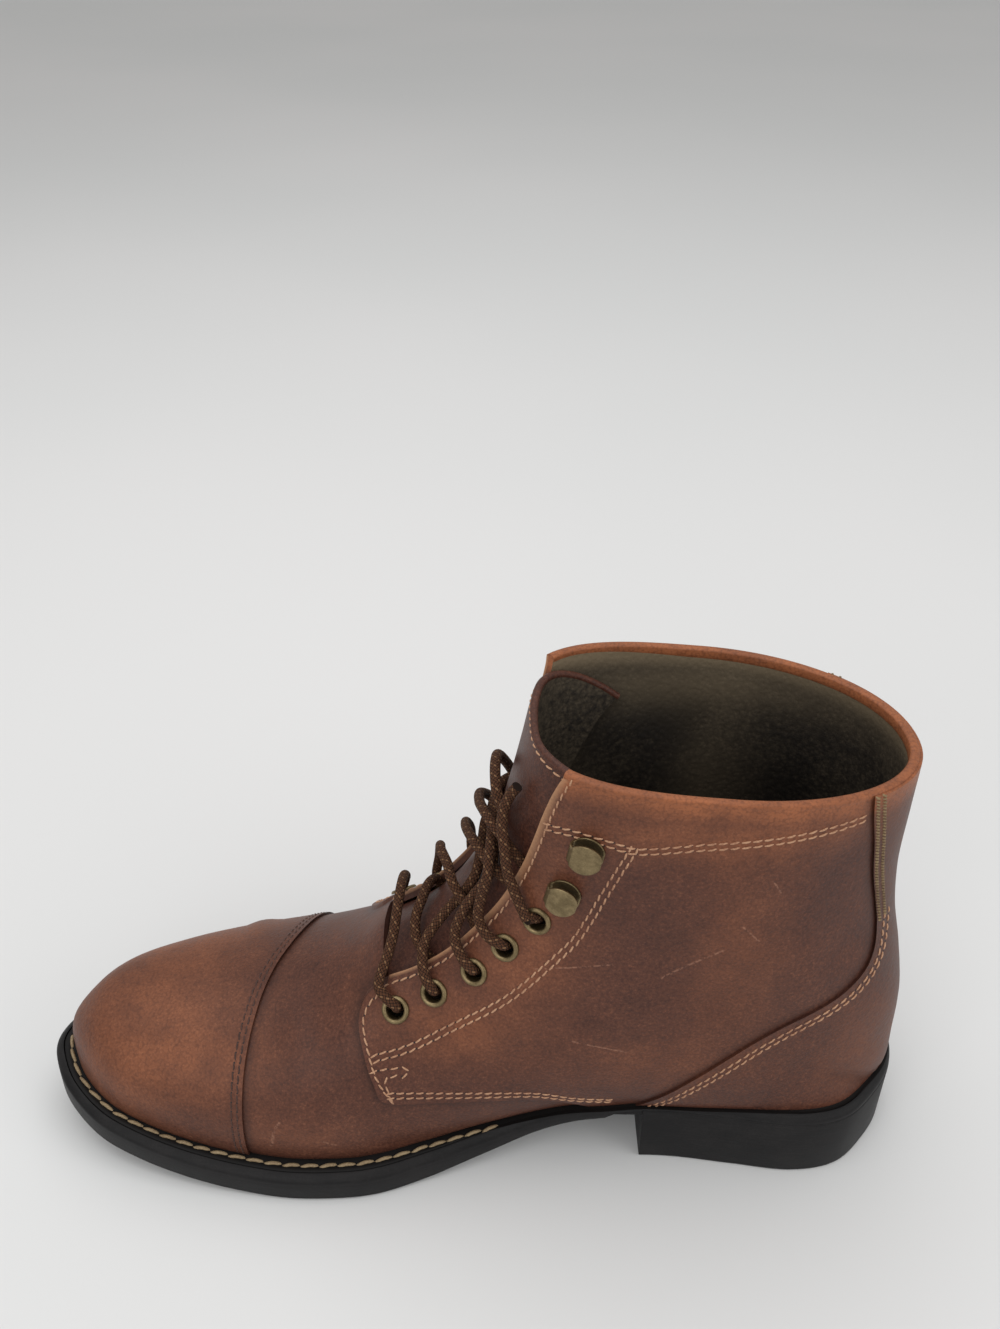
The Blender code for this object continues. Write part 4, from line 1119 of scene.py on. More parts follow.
def facing_edge_distance(points):
    """Distance of each point to the nearer facing's edge."""
    places = np.linspace(THROAT_ROW + 0.3, COLLAR_ROW, 40)
    lines = [[lace_point(round(place, 4), side, 0.0, QUARTER_STEP) for place in places] for side in (1, -1)]
    return np.minimum(*(line_distance(points, line) for line in lines))


def paint(thing, edge=None, rim=True, bare=False):
    """Mark each point: lighter where pulled up and where a highlight is painted, deep in a seam's painted
    shade, and bare at the facings' cut edges.
    """
    points = np.array([v.co for v in thing.data.vertices])
    pull_and_highlight = np.zeros(len(points))
    for side, along, up, reach_x, reach_z, strength in PULLED_AND_LIT:
        dx = (points[:, 0] - (along * SOLE_LENGTH - CENTRE_X)) / reach_x
        dz = (points[:, 2] - up * COLLAR_HEIGHT) / reach_z
        on_side = 1.0 if side == 0 else np.clip(points[:, 1] * side / 0.01, 0, 1)
        pull_and_highlight += strength * np.exp(-(dx**2 + dz**2)) * on_side
    if rim:
        pull_and_highlight = np.maximum(pull_and_highlight, RIM_PULL_AND_LIGHT * np.exp(-(np.maximum(rim_drop(points), 0) / RIM_REACH) ** 2))
    else:
        pull_and_highlight *= 0.0
    cut_edge = np.exp(-(facing_edge_distance(points) / BARE_REACH) ** 4) if bare else np.zeros(len(points))
    shadow = np.zeros(len(points)) if edge is None else edge(points)
    for name, values in (("pull_and_highlight", pull_and_highlight), ("shadow", shadow), ("bare", cut_edge)):
        layer = thing.data.attributes.new(name, "FLOAT", "POINT")
        layer.data.foreach_set("value", np.clip(values, 0, 1).astype(np.float32))
    return thing


# Pieces


def make_camera():
    """The camera at the photograph's place and angle."""
    lens = bpy.data.cameras.new("camera")
    lens.lens = CAMERA_LENS
    lens.sensor_width = CAMERA_SENSOR
    camera = bpy.data.objects.new("camera", lens)
    bpy.context.scene.collection.objects.link(camera)
    camera.location = CAMERA_PLACE
    camera.rotation_euler = (math.radians(90 - CAMERA_PITCH), 0.0, math.pi)
    bpy.context.scene.camera = camera


def tube(line, radius, sides):
    """A round cord along a dense line: points, faces and the chart of each face corner."""
    line = np.asarray(line)
    runs = np.concatenate([[0.0], np.cumsum(np.linalg.norm(np.diff(line, axis=0), axis=1))])
    tangents = np.gradient(line, axis=0)
    tangents /= np.linalg.norm(tangents, axis=1)[:, None]
    side = np.cross(tangents[0], (0.0, 0.0, 1.0))
    if np.linalg.norm(side) < 0.1:
        side = np.cross(tangents[0], (1.0, 0.0, 0.0))
    points, faces, chart = [], [], []
    for place, tangent in zip(line, tangents):
        side = side - tangent * side.dot(tangent)
        side /= np.linalg.norm(side)
        up = np.cross(tangent, side)
        for k in range(sides):
            turn = 2 * math.pi * k / sides
            points.append(place + radius * (side * math.cos(turn) + up * math.sin(turn)))
    for i in range(len(line) - 1):
        v = [runs[i + step] / (2 * math.pi * radius) for step in (0, 1)]
        for k in range(sides):
            near, far = i * sides, (i + 1) * sides
            step = (k + 1) % sides
            faces.append((near + k, near + step, far + step, far + k))
            chart += [(k / sides, v[0]), ((k + 1) / sides, v[0]), ((k + 1) / sides, v[1]), (k / sides, v[1])]
    for first, turned in ((0, True), ((len(line) - 1) * sides, False)):
        end = tuple(range(first, first + sides))
        faces.append(end[::-1] if turned else end)
        chart += [(0.0, 0.0)] * sides
    return points, faces, chart


def lace_object(name, lines, material):
    """Laces along dense lines, with the chart that the braid follows."""
    points, faces, chart = [], [], []
    for line in lines:
        more_points, more_faces, more_chart = tube(line, LACE_DIAMETER / 2, 16)
        first = len(points)
        points += more_points
        faces += [tuple(k + first for k in face) for face in more_faces]
        chart += more_chart
    thing = new_object(name, points, faces, [material], smooth_angle=60)
    layer = thing.data.uv_layers.new(name="lace")
    layer.data.foreach_set("uv", np.asarray(chart, dtype=np.float32).ravel())
    return thing


LACE_STEPS = 8
OVER = QUARTER_STEP + GAP + EYELET_RIM + GAP + LACE_DIAMETER / 2

# Strands over the tongue between the eyelets: eyelet number and side that each comes up through, then its
# places: row on the last, across = distance over the leather from the crest, height = over the vamp layer.
STRANDS = [
    (2, 1, [
        (11.60, 0.0250, 0.0042), (11.64, 0.0200, 0.0040), (11.90, 0.0150, 0.0030),
        (12.90, 0.0111, 0.0010), (13.70, 0.0105, -0.0002), (14.70, 0.0095, -0.0006),
        (15.50, 0.0040, -0.0006), (15.85, -0.0080, -0.0006), (15.90, -0.0200, -0.0008),
        (15.90, -0.0262, -0.0040),
    ]),
    (2, -1, [
        (12.20, -0.0240, 0.0060), (13.10, -0.0130, 0.0074), (13.65, -0.0050, 0.0070),
        (13.90, 0.0015, 0.0050), (13.95, 0.0080, 0.0042), (13.90, 0.0125, 0.0020),
        (13.80, 0.0165, -0.0004), (13.65, 0.0205, -0.0016), (13.55, 0.0235, -0.0040),
    ]),
    (3, 1, [
        (13.05, 0.0255, 0.0042), (13.25, 0.0200, 0.0040), (14.25, 0.0172, 0.0034),
        (15.30, 0.0160, 0.0006), (16.10, 0.0135, -0.0006), (16.75, 0.0050, -0.0006),
        (16.90, -0.0070, -0.0006), (16.85, -0.0200, -0.0008), (16.80, -0.0270, -0.0040),
    ]),
    (3, -1, [
        (13.80, -0.0245, 0.0052), (14.80, -0.0120, 0.0050), (15.45, -0.0030, 0.0046),
        (15.95, 0.0045, 0.0042), (16.25, 0.0105, 0.0036), (16.35, 0.0160, 0.0028),
        (16.25, 0.0215, 0.0002), (16.10, 0.0262, -0.0040),
    ]),
    (4, 1, [
        (14.34, 0.0282, 0.0042), (14.48, 0.0228, 0.0044), (15.25, 0.0204, 0.0054),
        (16.35, 0.0200, 0.0066), (17.00, 0.0168, 0.0048), (17.35, 0.0105, 0.0016),
        (17.50, 0.0035, 0.0000), (17.50, -0.0080, -0.0004), (17.50, -0.0200, -0.0006),
        (17.40, -0.0278, -0.0040),
    ]),
    (4, -1, [
        (15.50, -0.0250, 0.0050), (16.50, -0.0125, 0.0048), (17.25, -0.0015, 0.0044),
        (17.80, 0.0060, 0.0042), (18.12, 0.0120, 0.0040), (18.10, 0.0172, 0.0026),
        (17.80, 0.0210, 0.0008), (17.50, 0.0250, -0.0016), (17.30, 0.0285, -0.0040),
    ]),
]
FIRST_UNDER = [
    (11.62, 0.0215, -0.0040), (11.52, 0.0170, -0.0002), (11.38, 0.0120, 0.0012),
    (11.45, 0.0060, 0.0016), (11.75, 0.0000, 0.0014), (11.90, -0.0080, 0.0012),
    (11.90, -0.0165, 0.0000), (11.80, -0.0215, -0.0040),
]
FIRST_BAR = [
    (10.20, 0.0255, 0.0042), (10.05, 0.0210, 0.0044), (10.38, 0.0139, 0.0038),
    (10.65, 0.0089, 0.0042), (10.92, 0.0035, 0.0054), (11.15, -0.0040, 0.0068),
    (11.10, -0.0120, 0.0074), (10.85, -0.0200, 0.0062), (10.60, -0.0255, 0.0048),
]


def from_eyelet(number, side):
    """The stretch of lace that comes up through an eyelet and lies over its flange."""
    place, inset = EYELET_SEATS[number - 1]
    return [
        lace_point(place, side, inset, -0.0050),
        lace_point(place, side, inset - 0.0002, -0.0008),
        lace_point(place + 0.03, side, inset * 0.86, 0.0022),
    ]


def strand(table):
    """The points of a strand from its places over the tongue."""
    return [lace_point(row, math.copysign(1.0, across), abs(across) - half_gap(row), height)
            for row, across, height in table]


def loose_end(side, table):
    """A loose end from the last eyelet along its route on the tongue."""
    place, inset = EYELET_SEATS[-1]
    route = [lace_point(place, side, inset * 0.8, OVER)] + strand(table)
    return smooth_line(np.array(route), LACE_STEPS)


def make_laces(material):
    """The lacing through the eyelets and the two loose ends, which are free cords."""
    routes = [from_eyelet(1, 1) + strand(FIRST_BAR) + from_eyelet(1, -1)[::-1], strand(FIRST_UNDER)]
    routes += [from_eyelet(number, side) + strand(table) for number, side, table in STRANDS]
    lines = [smooth_line(np.array(route), LACE_STEPS) for route in routes]
    stubs = []
    for side in (1, -1):
        place, inset = EYELET_SEATS[-1]
        stub = from_eyelet(len(EYELET_SEATS), side) + [lace_point(place, side, inset * 0.8, OVER)]
        stubs.append(smooth_line(np.array(stub), LACE_STEPS))
    lacing = lace_object("lacing", lines + stubs, material)
    solids = ["lace_bar"] + [f"lace_crossing_{n}" for n in range(1, len(EYELET_SEATS))]
    finished(lacing, "brown_cord", *solids)
    for side, table, node in ((1, END_INNER, "lace_end_inner"), (-1, END_OUTER, "lace_end_outer")):
        line = loose_end(side, table)
        end = finished(lace_object(f"{node}_cord", [line], material), "brown_cord", node)


def stack(name, levels, stations, material, x_end=None, closed_ring=False):
    """A moulded form from loops round the sole on top of each other, capped or joined into a ring."""
    loops = [ring(inset, height, stations, x_end) for inset, height in levels]
    size = len(loops[0])
    points = [point for loop in loops for point in loop]
    faces = []
    for level in range(len(loops) - 1):
        faces += band_faces(level * size, (level + 1) * size, size)
    if closed_ring:
        faces += band_faces((len(loops) - 1) * size, 0, size)
    else:
        faces += cap_faces(0, size, stations, x_end is not None)
        faces += cap_faces((len(loops) - 1) * size, size, stations, x_end is not None)
    return turn_outwards(new_object(name, points, faces, [material], smooth_angle=50))


# Rounded edge of the sole's shoulder: share of the shoulder's width inwards and of its drop downwards
SHOULDER_CURVE = [
    (0.00, 1.60), (0.02, 1.25), (0.10, 0.95), (0.35, 0.60), (0.70, 0.25),
    (0.95, 0.04), (1.08, 0.0),
]
BEAD_HEIGHT = 0.0024
GROOVE_DEPTH = 0.0006
HEEL_CROWN = 0.0032


def make_sole(rubber):
    """The moulded sole: forepart and waist with a rounded shoulder, and the heel block under a bead."""
    def inwards(depth):
        return lambda x: depth

    def over_floor(rise):
        return lambda x: sole_bottom(x) + rise

    def heel_bead(x):
        return max(0.0, min(1.0, (HEEL_LENGTH + HEEL_CLEARANCE - x) / 0.012))

    def bead_inset(depth):
        return lambda x: depth * heel_bead(x)

    def under_top(drop):
        return lambda x: max(sole_top(x) - SHOULDER_DROP * 1.6 - drop, sole_bottom(x) + TREAD_BEVEL * 1.1)

    levels = [
        (inwards(TREAD_BEVEL * 1.6), over_floor(0.0)),
        (inwards(TREAD_BEVEL), over_floor(TREAD_BEVEL * 0.12)),
        (inwards(TREAD_BEVEL * 0.3), over_floor(TREAD_BEVEL * 0.5)),
        (inwards(0.0), over_floor(TREAD_BEVEL)),
        (bead_inset(GROOVE_DEPTH), under_top(BEAD_HEIGHT * 0.45)),
        (bead_inset(GROOVE_DEPTH), under_top(BEAD_HEIGHT * 0.30)),
        (bead_inset(0.0), under_top(BEAD_HEIGHT * 0.10)),
    ]
    for inward, down in SHOULDER_CURVE:
        levels.append((lambda x, s=inward: shoulder(x) * s,
                       lambda x, s=down: sole_top(x) - SHOULDER_DROP * s))
    levels.append((lambda x: shoulder(x) * 1.08, lambda x: sole_top(x) - WELT_THICKNESS - GAP))
    levels.append((lambda x: groove_inner(x), lambda x: sole_top(x) - WELT_THICKNESS - GAP))
    levels.append((lambda x: groove_inner(x), sole_top))
    sole = stack("sole", levels, SOLE_STATIONS, rubber)
    finished(sole, "black_rubber", "outsole")
    top = HEEL_HEIGHT + HEEL_CROWN
    heel_levels = [
        (HEEL_TAPER + TREAD_BEVEL * 1.4, 0.0),
        (HEEL_TAPER + TREAD_BEVEL * 0.7, TREAD_BEVEL * 0.15),
        (HEEL_TAPER + TREAD_BEVEL * 0.15, TREAD_BEVEL * 0.6),
        (HEEL_TAPER, TREAD_BEVEL * 1.2),
        (-0.0002, top - 0.0008),
        (0.0, top - 0.0003),
        (0.0007, top),
        (0.0030, top),
    ]
    levels = [(inwards(depth), lambda x, z=height: z) for depth, height in heel_levels]
    heel = stack("heel_block", levels, SOLE_STATIONS // 2, rubber, HEEL_LENGTH)
    finished(heel, "black_rubber", "heel")


def make_welt(material):
    """The flat black strip round the upper, with softly broken edges."""
    outside = lambda x: shoulder(x) * 1.08 + GAP
    inside = lambda x: groove_inner(x) - GAP
    ease = 0.0003
    corners = [
        (outside, lambda x: sole_top(x) - WELT_THICKNESS),
        (outside, lambda x: sole_top(x) - ease),
        (lambda x: outside(x) + ease, sole_top),
        (lambda x: ledge(x) - 0.0034, lambda x: sole_top(x) + 0.0001),
        (lambda x: ledge(x) - 0.0026, lambda x: sole_top(x) - 0.0002),
        (lambda x: ledge(x) - 0.0018, lambda x: sole_top(x) + 0.0001),
        (inside, sole_top),
        (inside, lambda x: sole_top(x) - WELT_THICKNESS),
    ]
    finished(stack("welt_strip", corners, SOLE_STATIONS, material, closed_ring=True), "black_welt", "welt")


def hole_forms(low, high, radius):
    """Round plugs at the eyelets' seats, from one height over the skin to another."""
    forms = []
    for side in (1, -1):
        for place, inset in EYELET_SEATS:
            points, faces = turned_form([(radius, low), (radius, high)], 24, False)
            forms.append((placed(points, seat_matrix(place, side, inset, 0.0)), faces))
    return forms


OVERLAY_TUCK = 0.0001
SHADE_REACH = 0.0022


def make_upper(finishes):
    """The leather upper: the vamp layer with its lining, and the cap, quarters and counter stitched on."""
    # dark: leather painted darker on cut edges and steps, as their shade
    plain, scuffed, dark, lining = finishes
    cap_line, quarter_line, counter_line = panel_lines()

    def by_edges(*lines):
        """A seam's shade next to panel edges, each with the axes that it is drawn in."""
        def shade(points):
            near = np.full(len(points), 1.0)
            for line, axes in lines:
                near = np.minimum(near, line_distance(points[:, axes], line))
            return np.exp(-(near / SHADE_REACH) ** 2)
        return shade

    plan, side_view = (0, 1), (0, 2)
    vamp = wall("vamp", last_skin(0, COLLAR_ROW), -WALL, 0.0, [scuffed, lining, dark])
    holes = gathered("holes", hole_forms(-2 * WALL, 3 * WALL, EYELET_BORE / 2 + EYELET_WALL + GAP), [dark])
    cut(vamp, holes, "DIFFERENCE")
    baked(vamp)
    paint(vamp, by_edges((cap_line, plan), (quarter_line, side_view)))
    finished(vamp, "brown_leather", "upper")
    overlays = [
        ("toe_cap", 0.0, CAP_STEP, (0, THROAT_ROW), plan_prism, CAP_EDGE + CAP_CLOSING, plain,
         (cap_line, plan)),
        ("quarters", 0.0, QUARTER_STEP, (8, COLLAR_ROW), side_prism, QUARTER_EDGE + QUARTER_CLOSING, scuffed,
         (counter_line, side_view)),
        ("counter", QUARTER_STEP, COUNTER_STEP, (12, COLLAR_ROW), side_prism, COUNTER_EDGE + COUNTER_CLOSING,
         plain, (counter_line, side_view)),
    ]
    layers = [vamp]
    for name, floor, step, rows, trim, outline, finish, shaded in overlays:
        closing = outline[-2:] if name != "quarters" else outline[-3:]
        edge = outline[:-len(closing)]
        dense = [tuple(point) for point in smooth_line(edge, 5)] + closing
        panel = wall(name, last_skin(*rows), floor - OVERLAY_TUCK, floor + step, [finish, finish, dark])
        form = trim(f"{name}_trim", dense, dark)
        cut(panel, form, "INTERSECT")
        spent = [form]
        if name == "quarters":
            cut(panel, holes, "DIFFERENCE")
        baked(panel, *spent)
        paint(panel, by_edges(shaded) if name == "quarters" else None, bare=name == "quarters")
        finished(panel, "brown_leather")
        layers.append(panel)
    bpy.data.objects.remove(holes, do_unlink=True)
    return layers


COLLAR_FOLD = 0.0030


def collar_places():
    """Points and normals of the collar's edge from the inner facing round the back to the outer facing."""
    skin_points, _, normals = last_skin(COLLAR_ROW - 1, COLLAR_ROW)
    size = 2 * FLANK_COLUMNS + CROWN_COLUMNS
    ring_points, ring_normals = skin_points[-size:], normals[-size:]
    inner = list(range(FLANK_COLUMNS, -1, -1))
    outer = list(range(size - 1, FLANK_COLUMNS + CROWN_COLUMNS - 1, -1))
    order = inner + outer
    return ring_points[order], ring_normals[order]


def make_collar(leather):
    """The leather folded over the collar's edge: round on top, with a narrow band on the inside."""
    points, normals = collar_places()
    (foot_x, foot_z), (crest_x, crest_z), *_ = section_frame(COLLAR_ROW)
    up = np.array([foot_z - crest_z, 0.0, crest_x - foot_x])
    up /= np.linalg.norm(up)
    out, inn = QUARTER_STEP + 0.00004, -WALL - 0.0002
    middle, half = (out + inn) / 2, (out - inn) / 2
    profile = [(out, -0.0012), (out, -0.0005)]
    for k in range(9):
        turn = math.pi * k / 8
        profile.append((middle + half * math.cos(turn), 0.0008 * math.sin(turn)))
    profile += [(inn, -COLLAR_FOLD * 0.5), (inn, -COLLAR_FOLD + 0.0004), (inn + 0.0003, -COLLAR_FOLD)]
    profile += [(middle, -COLLAR_FOLD * 0.6), (out - 0.0004, -0.0020)]
    loop = []
    for point, normal in zip(points, normals):
        loop.append([point + normal * side + up * rise for side, rise in profile])
    size = len(profile)
    flat = [p for row in loop for p in row]
    faces = []
    for i in range(len(loop) - 1):
        faces += band_faces(i * size, (i + 1) * size, size)
    faces.append(tuple(range(size)))
    faces.append(tuple(range((len(loop) - 1) * size, len(loop) * size)))
    fold = turn_outwards(new_object("collar_fold", flat, faces, [leather], smooth_angle=50))
    paint(fold)
    return finished(fold, "brown_leather")


def tongue_grid(rows, columns, offset):
    """A grid over the tongue, at an offset from the vamp layer's skin: points, quads and normals."""
    start = THROAT_ROW - 1.5
    lines = []
    for k in range(rows + 1):
        rise = k / rows
        place = start + (TONGUE_TOP - start) * rise
        halves = []
        for side, wing in ((1, 0.0), (-1, TONGUE_WING)):
            reach = half_gap(place) + TONGUE_MARGIN + wing * rise**2
            shares = np.linspace(0, 1, columns + 1)
            drop = TOP_DROP if side < 0 else NEAR_DROP
            row = [last_line(round(place - drop * rise**6 * share**1.5, 4), side) for share in shares]
            halves.append(np.array([walk(line, [reach * share])[0] for line, share in zip(row, shares)]))
        lines.append(np.vstack([halves[0][::-1], halves[1][1:]]))
    width = 2 * columns + 1
    quads = [(i * width + j, (i + 1) * width + j, (i + 1) * width + j + 1, i * width + j + 1)
             for i in range(rows) for j in range(width - 1)]
    points = np.vstack(lines)
    normals = point_normals(points, quads)
    return points + normals * offset, quads, normals


TONGUE_ROWS = 90
TOP_DROP = 1.7
NEAR_DROP = 0.3
TONGUE_COLUMNS = 22


def make_tongue(leather, lining):
    """The tongue: leather outside, lining inside, with a rounded edge along its top."""
    skin = tongue_grid(TONGUE_ROWS, TONGUE_COLUMNS, -(WALL + TONGUE_GAP))
    tongue = wall("tongue_leather", skin, -TONGUE_THICKNESS, 0.0, [leather, lining, leather])
    points, _, normals = skin
    width = 2 * TONGUE_COLUMNS + 1
    paint(tongue, rim=False)
    finished(tongue, "brown_leather", "tongue")
    top, top_normals = points[-width:], normals[-width:]
    line = top - top_normals * TONGUE_THICKNESS / 2
    bead_points, bead_faces, _ = tube(smooth_line(line, 2), TONGUE_THICKNESS * 0.56, 14)
    bead = new_object("tongue_edge", bead_points, bead_faces, [leather], smooth_angle=60)
    paint(bead, rim=False)
    finished(bead, "brown_leather")
    inset = 3
    row = points.reshape(TONGUE_ROWS + 1, width, 3)
    row_normals = normals.reshape(TONGUE_ROWS + 1, width, 3)
    across = [row[-1 - inset, j] for j in range(2, width - 2)]
    across_normals = [row_normals[-1 - inset, j] for j in range(2, width - 2)]
    return np.array(across), np.array(across_normals)


EYELET_LIFT = 0.0001
EYELET_ROLL_RISE = 0.0010


def make_eyelets(brass):
    """The eyelets: rolled rings with a short barrel."""
    bore, barrel, flange = EYELET_BORE / 2, EYELET_BORE / 2 + EYELET_WALL, EYELET_FLANGE / 2
    floor = QUARTER_STEP + EYELET_LIFT
    roll = (flange - bore) / 2
    profile = [(bore, -WALL * 1.1), (barrel, -WALL * 1.1), (barrel, floor), (flange, floor)]
    for k in range(11):
        turn = math.pi * k / 10
        rise = floor + EYELET_LIFT + EYELET_ROLL_RISE * math.sin(turn)
        profile.append((bore + roll + roll * math.cos(turn), rise))
    forms = []
    for side in (1, -1):
        for place, inset in EYELET_SEATS:
            points, faces = turned_form(profile, 40, True)
            forms.append((placed(points, seat_matrix(place, side, inset, 0.0)), faces))
    names = [f"eyelet_{label}_{n}" for label in ("inner", "outer") for n in range(1, len(EYELET_SEATS) + 1)]
    finished(gathered("eyelets", forms, [brass], 50), "aged_brass", *names)


HOOK_PLATE = 0.0007
HOOK_MOUTH = 0.0034
HOOK_NECK = 0.0030


HOOK_DOME = 0.0007
HOOK_DIP = 0.0003


def hook_form():
    """One lace hook: a round foot plate, a narrow bent neck on the throat's side, and a round front plate."""
    radius, mouth = HOOK_DISC / 2, HOOK_MOUTH / 2
    bend_at = radius * 0.70
    rows = []
    for k in range(13):
        reach = -radius * 0.94 + (radius * 0.94 + bend_at) * k / 12
        rows.append((reach, HOOK_PLATE / 2, math.sqrt(max(radius**2 - reach**2, 0.0))))
    for k in range(1, 10):
        turn = math.pi * k / 10
        rise = HOOK_PLATE / 2 + mouth * (1 - math.cos(turn))
        rows.append((bend_at + mouth * 0.8 * math.sin(turn), rise, HOOK_NECK))
    for k in range(13):
        reach = bend_at - (radius * 0.94 + bend_at) * k / 12
        dome = HOOK_DOME * (1 - (reach / radius) ** 2)
        rise = 2 * mouth + HOOK_PLATE / 2 + dome - HOOK_DIP * (bend_at - reach) / radius
        rows.append((reach, rise, math.sqrt(max(radius**2 - reach**2, 0.0))))
    columns = 10
    points, faces = [], []
    for reach, height, half in rows:
        for j in range(columns + 1):
            points.append((half * (2 * j / columns - 1), reach, height))
    width = columns + 1
    for i in range(len(rows) - 1):
        for j in range(columns):
            faces.append((i * width + j, i * width + j + 1, (i + 1) * width + j + 1, (i + 1) * width + j))
    return points, faces


def make_hooks(brass):
    """The lace hooks above the eyelets on both facings."""
    points, faces = hook_form()
    forms = []
    for side in (1, -1):
        for place, inset in HOOK_SEATS:
            matrix = seat_matrix(place, side, inset, QUARTER_STEP + 0.0001)
            flip = Matrix.Diagonal((1.0, float(side), 1.0, 1.0))
            forms.append((placed(points, matrix @ flip), faces))
    hooks = gathered("hooks", forms, [brass], 50)
    solid = hooks.modifiers.new("plate", "SOLIDIFY")
    solid.thickness = HOOK_PLATE
    solid.offset = 0.0
    solid.use_even_offset = True
    bevel = hooks.modifiers.new("edge", "BEVEL")
    bevel.width = 0.00016
    bevel.segments = 2
    bevel.limit_method = "ANGLE"
    baked(hooks, smooth_angle=50)
    turn_outwards(hooks)
    names = [f"hook_{label}_{n}" for label in ("inner", "outer") for n in range(1, len(HOOK_SEATS) + 1)]
    finished(hooks, "aged_brass", *names)


# Stitching


def thread_tree():
    """A Geometry Nodes tree: short bent threads set along lines, each sunk into the leather at its ends."""
    tree = bpy.data.node_groups.new("thread_row", "GeometryNodeTree")
    tree.interface.new_socket("Geometry", in_out="OUTPUT", socket_type="NodeSocketGeometry")
    tree.interface.new_socket("Geometry", in_out="INPUT", socket_type="NodeSocketGeometry")
    for name in ("Pitch", "Length", "Thickness", "Rise", "Shift", "Slant"):
        tree.interface.new_socket(name, in_out="INPUT", socket_type="NodeSocketFloat")
    tree.interface.new_socket("Material", in_out="INPUT", socket_type="NodeSocketMaterial")
    given = tree.nodes.new("NodeGroupInput")
    wires = [Wire(tree, given.outputs[k]) for k in range(8)]
    line, pitch, length, thick, rise, shift, slant, material = wires
    curve = add_node(tree, "GeometryNodeMeshToCurve", {}, {0: line})
    trimmed = add_node(tree, "GeometryNodeTrimCurve", {"mode": "LENGTH"},
                       {0: curve, 4: shift, 5: 100.0})
    spaced = add_node(tree, "GeometryNodeResampleCurve", {"mode": "LENGTH"},
                      {"Curve": trimmed, "Length": pitch})
    tangent = add_node(tree, "GeometryNodeInputTangent", {}, {})
    up = add_node(tree, "GeometryNodeInputNamedAttribute", {"data_type": "FLOAT_VECTOR"}, {0: "up"})
    ahead = add_node(tree, "FunctionNodeAlignRotationToVector", {"axis": "X"}, {"Vector": tangent})
    facing = add_node(tree, "FunctionNodeAlignRotationToVector", {"axis": "Z", "pivot_axis": "X"},
                      {"Rotation": ahead, "Vector": up})
    wobble = add_node(tree, "FunctionNodeRandomValue", {"data_type": "FLOAT"},
                      {2: -0.07, 3: 0.07, "Seed": 7}, 1)
    turn = add_node(tree, "ShaderNodeCombineXYZ", {}, {2: slant + wobble})
    spin = add_node(tree, "FunctionNodeEulerToRotation", {}, {0: turn})
    turned = add_node(tree, "FunctionNodeRotateRotation", {"rotation_space": "LOCAL"}, {0: facing, 1: spin})
    half, sink = length * 0.5, thick * 0.55
    start = add_node(tree, "ShaderNodeCombineXYZ", {}, {0: half * -1.0, 2: sink * -1.0})
    top = add_node(tree, "ShaderNodeCombineXYZ", {}, {2: rise * 2.0 + sink})
    end = add_node(tree, "ShaderNodeCombineXYZ", {}, {0: half, 2: sink * -1.0})
    arc = add_node(tree, "GeometryNodeCurveQuadraticBezier", {}, {0: 5, 1: start, 2: top, 3: end})
    round_yarn = add_node(tree, "GeometryNodeCurvePrimitiveCircle", {},
                          {"Resolution": 6, "Radius": thick * 0.5})
    stitch = add_node(tree, "GeometryNodeCurveToMesh", {}, {0: arc, 1: round_yarn, "Fill Caps": True})
    smooth = add_node(tree, "GeometryNodeSetShadeSmooth", {}, {0: stitch})
    placed_on = add_node(tree, "GeometryNodeInstanceOnPoints", {},
                         {"Points": spaced, "Instance": smooth, "Rotation": turned})
    real = add_node(tree, "GeometryNodeRealizeInstances", {}, {0: placed_on})
    coloured = add_node(tree, "GeometryNodeSetMaterial", {}, {0: real, "Material": material})
    result = tree.nodes.new("NodeGroupOutput")
    tree.links.new(coloured.socket, result.inputs[0])
    return tree


def sew(name, tree, rows, material, slot, sizes):
    """A piece of thread along rows, each a line of points with the leather's normals."""
    points, normals, edges = [], [], []
    for line, ups in rows:
        first = len(points)
        points += [tuple(map(float, p)) for p in line]
        normals += [tuple(map(float, n)) for n in ups]
        edges += [(first + k, first + k + 1) for k in range(len(line) - 1)]
    mesh = bpy.data.meshes.new(name)
    mesh.from_pydata(points, edges, [])
    layer = mesh.attributes.new("up", "FLOAT_VECTOR", "POINT")
    layer.data.foreach_set("vector", np.asarray(normals, dtype=np.float32).ravel())
    thing = bpy.data.objects.new(name, mesh)
    bpy.context.scene.collection.objects.link(thing)
    modifier = thing.modifiers.new("thread", "NODES")
    modifier.node_group = tree
    values = {**sizes, "Material": material}
    for item in tree.interface.items_tree:
        if item.in_out == "INPUT" and item.name in values:
            modifier[item.identifier] = values[item.name]
    return finished(baked(thing, smooth_angle=80), slot)


LAYERS_REACH = 0.0040


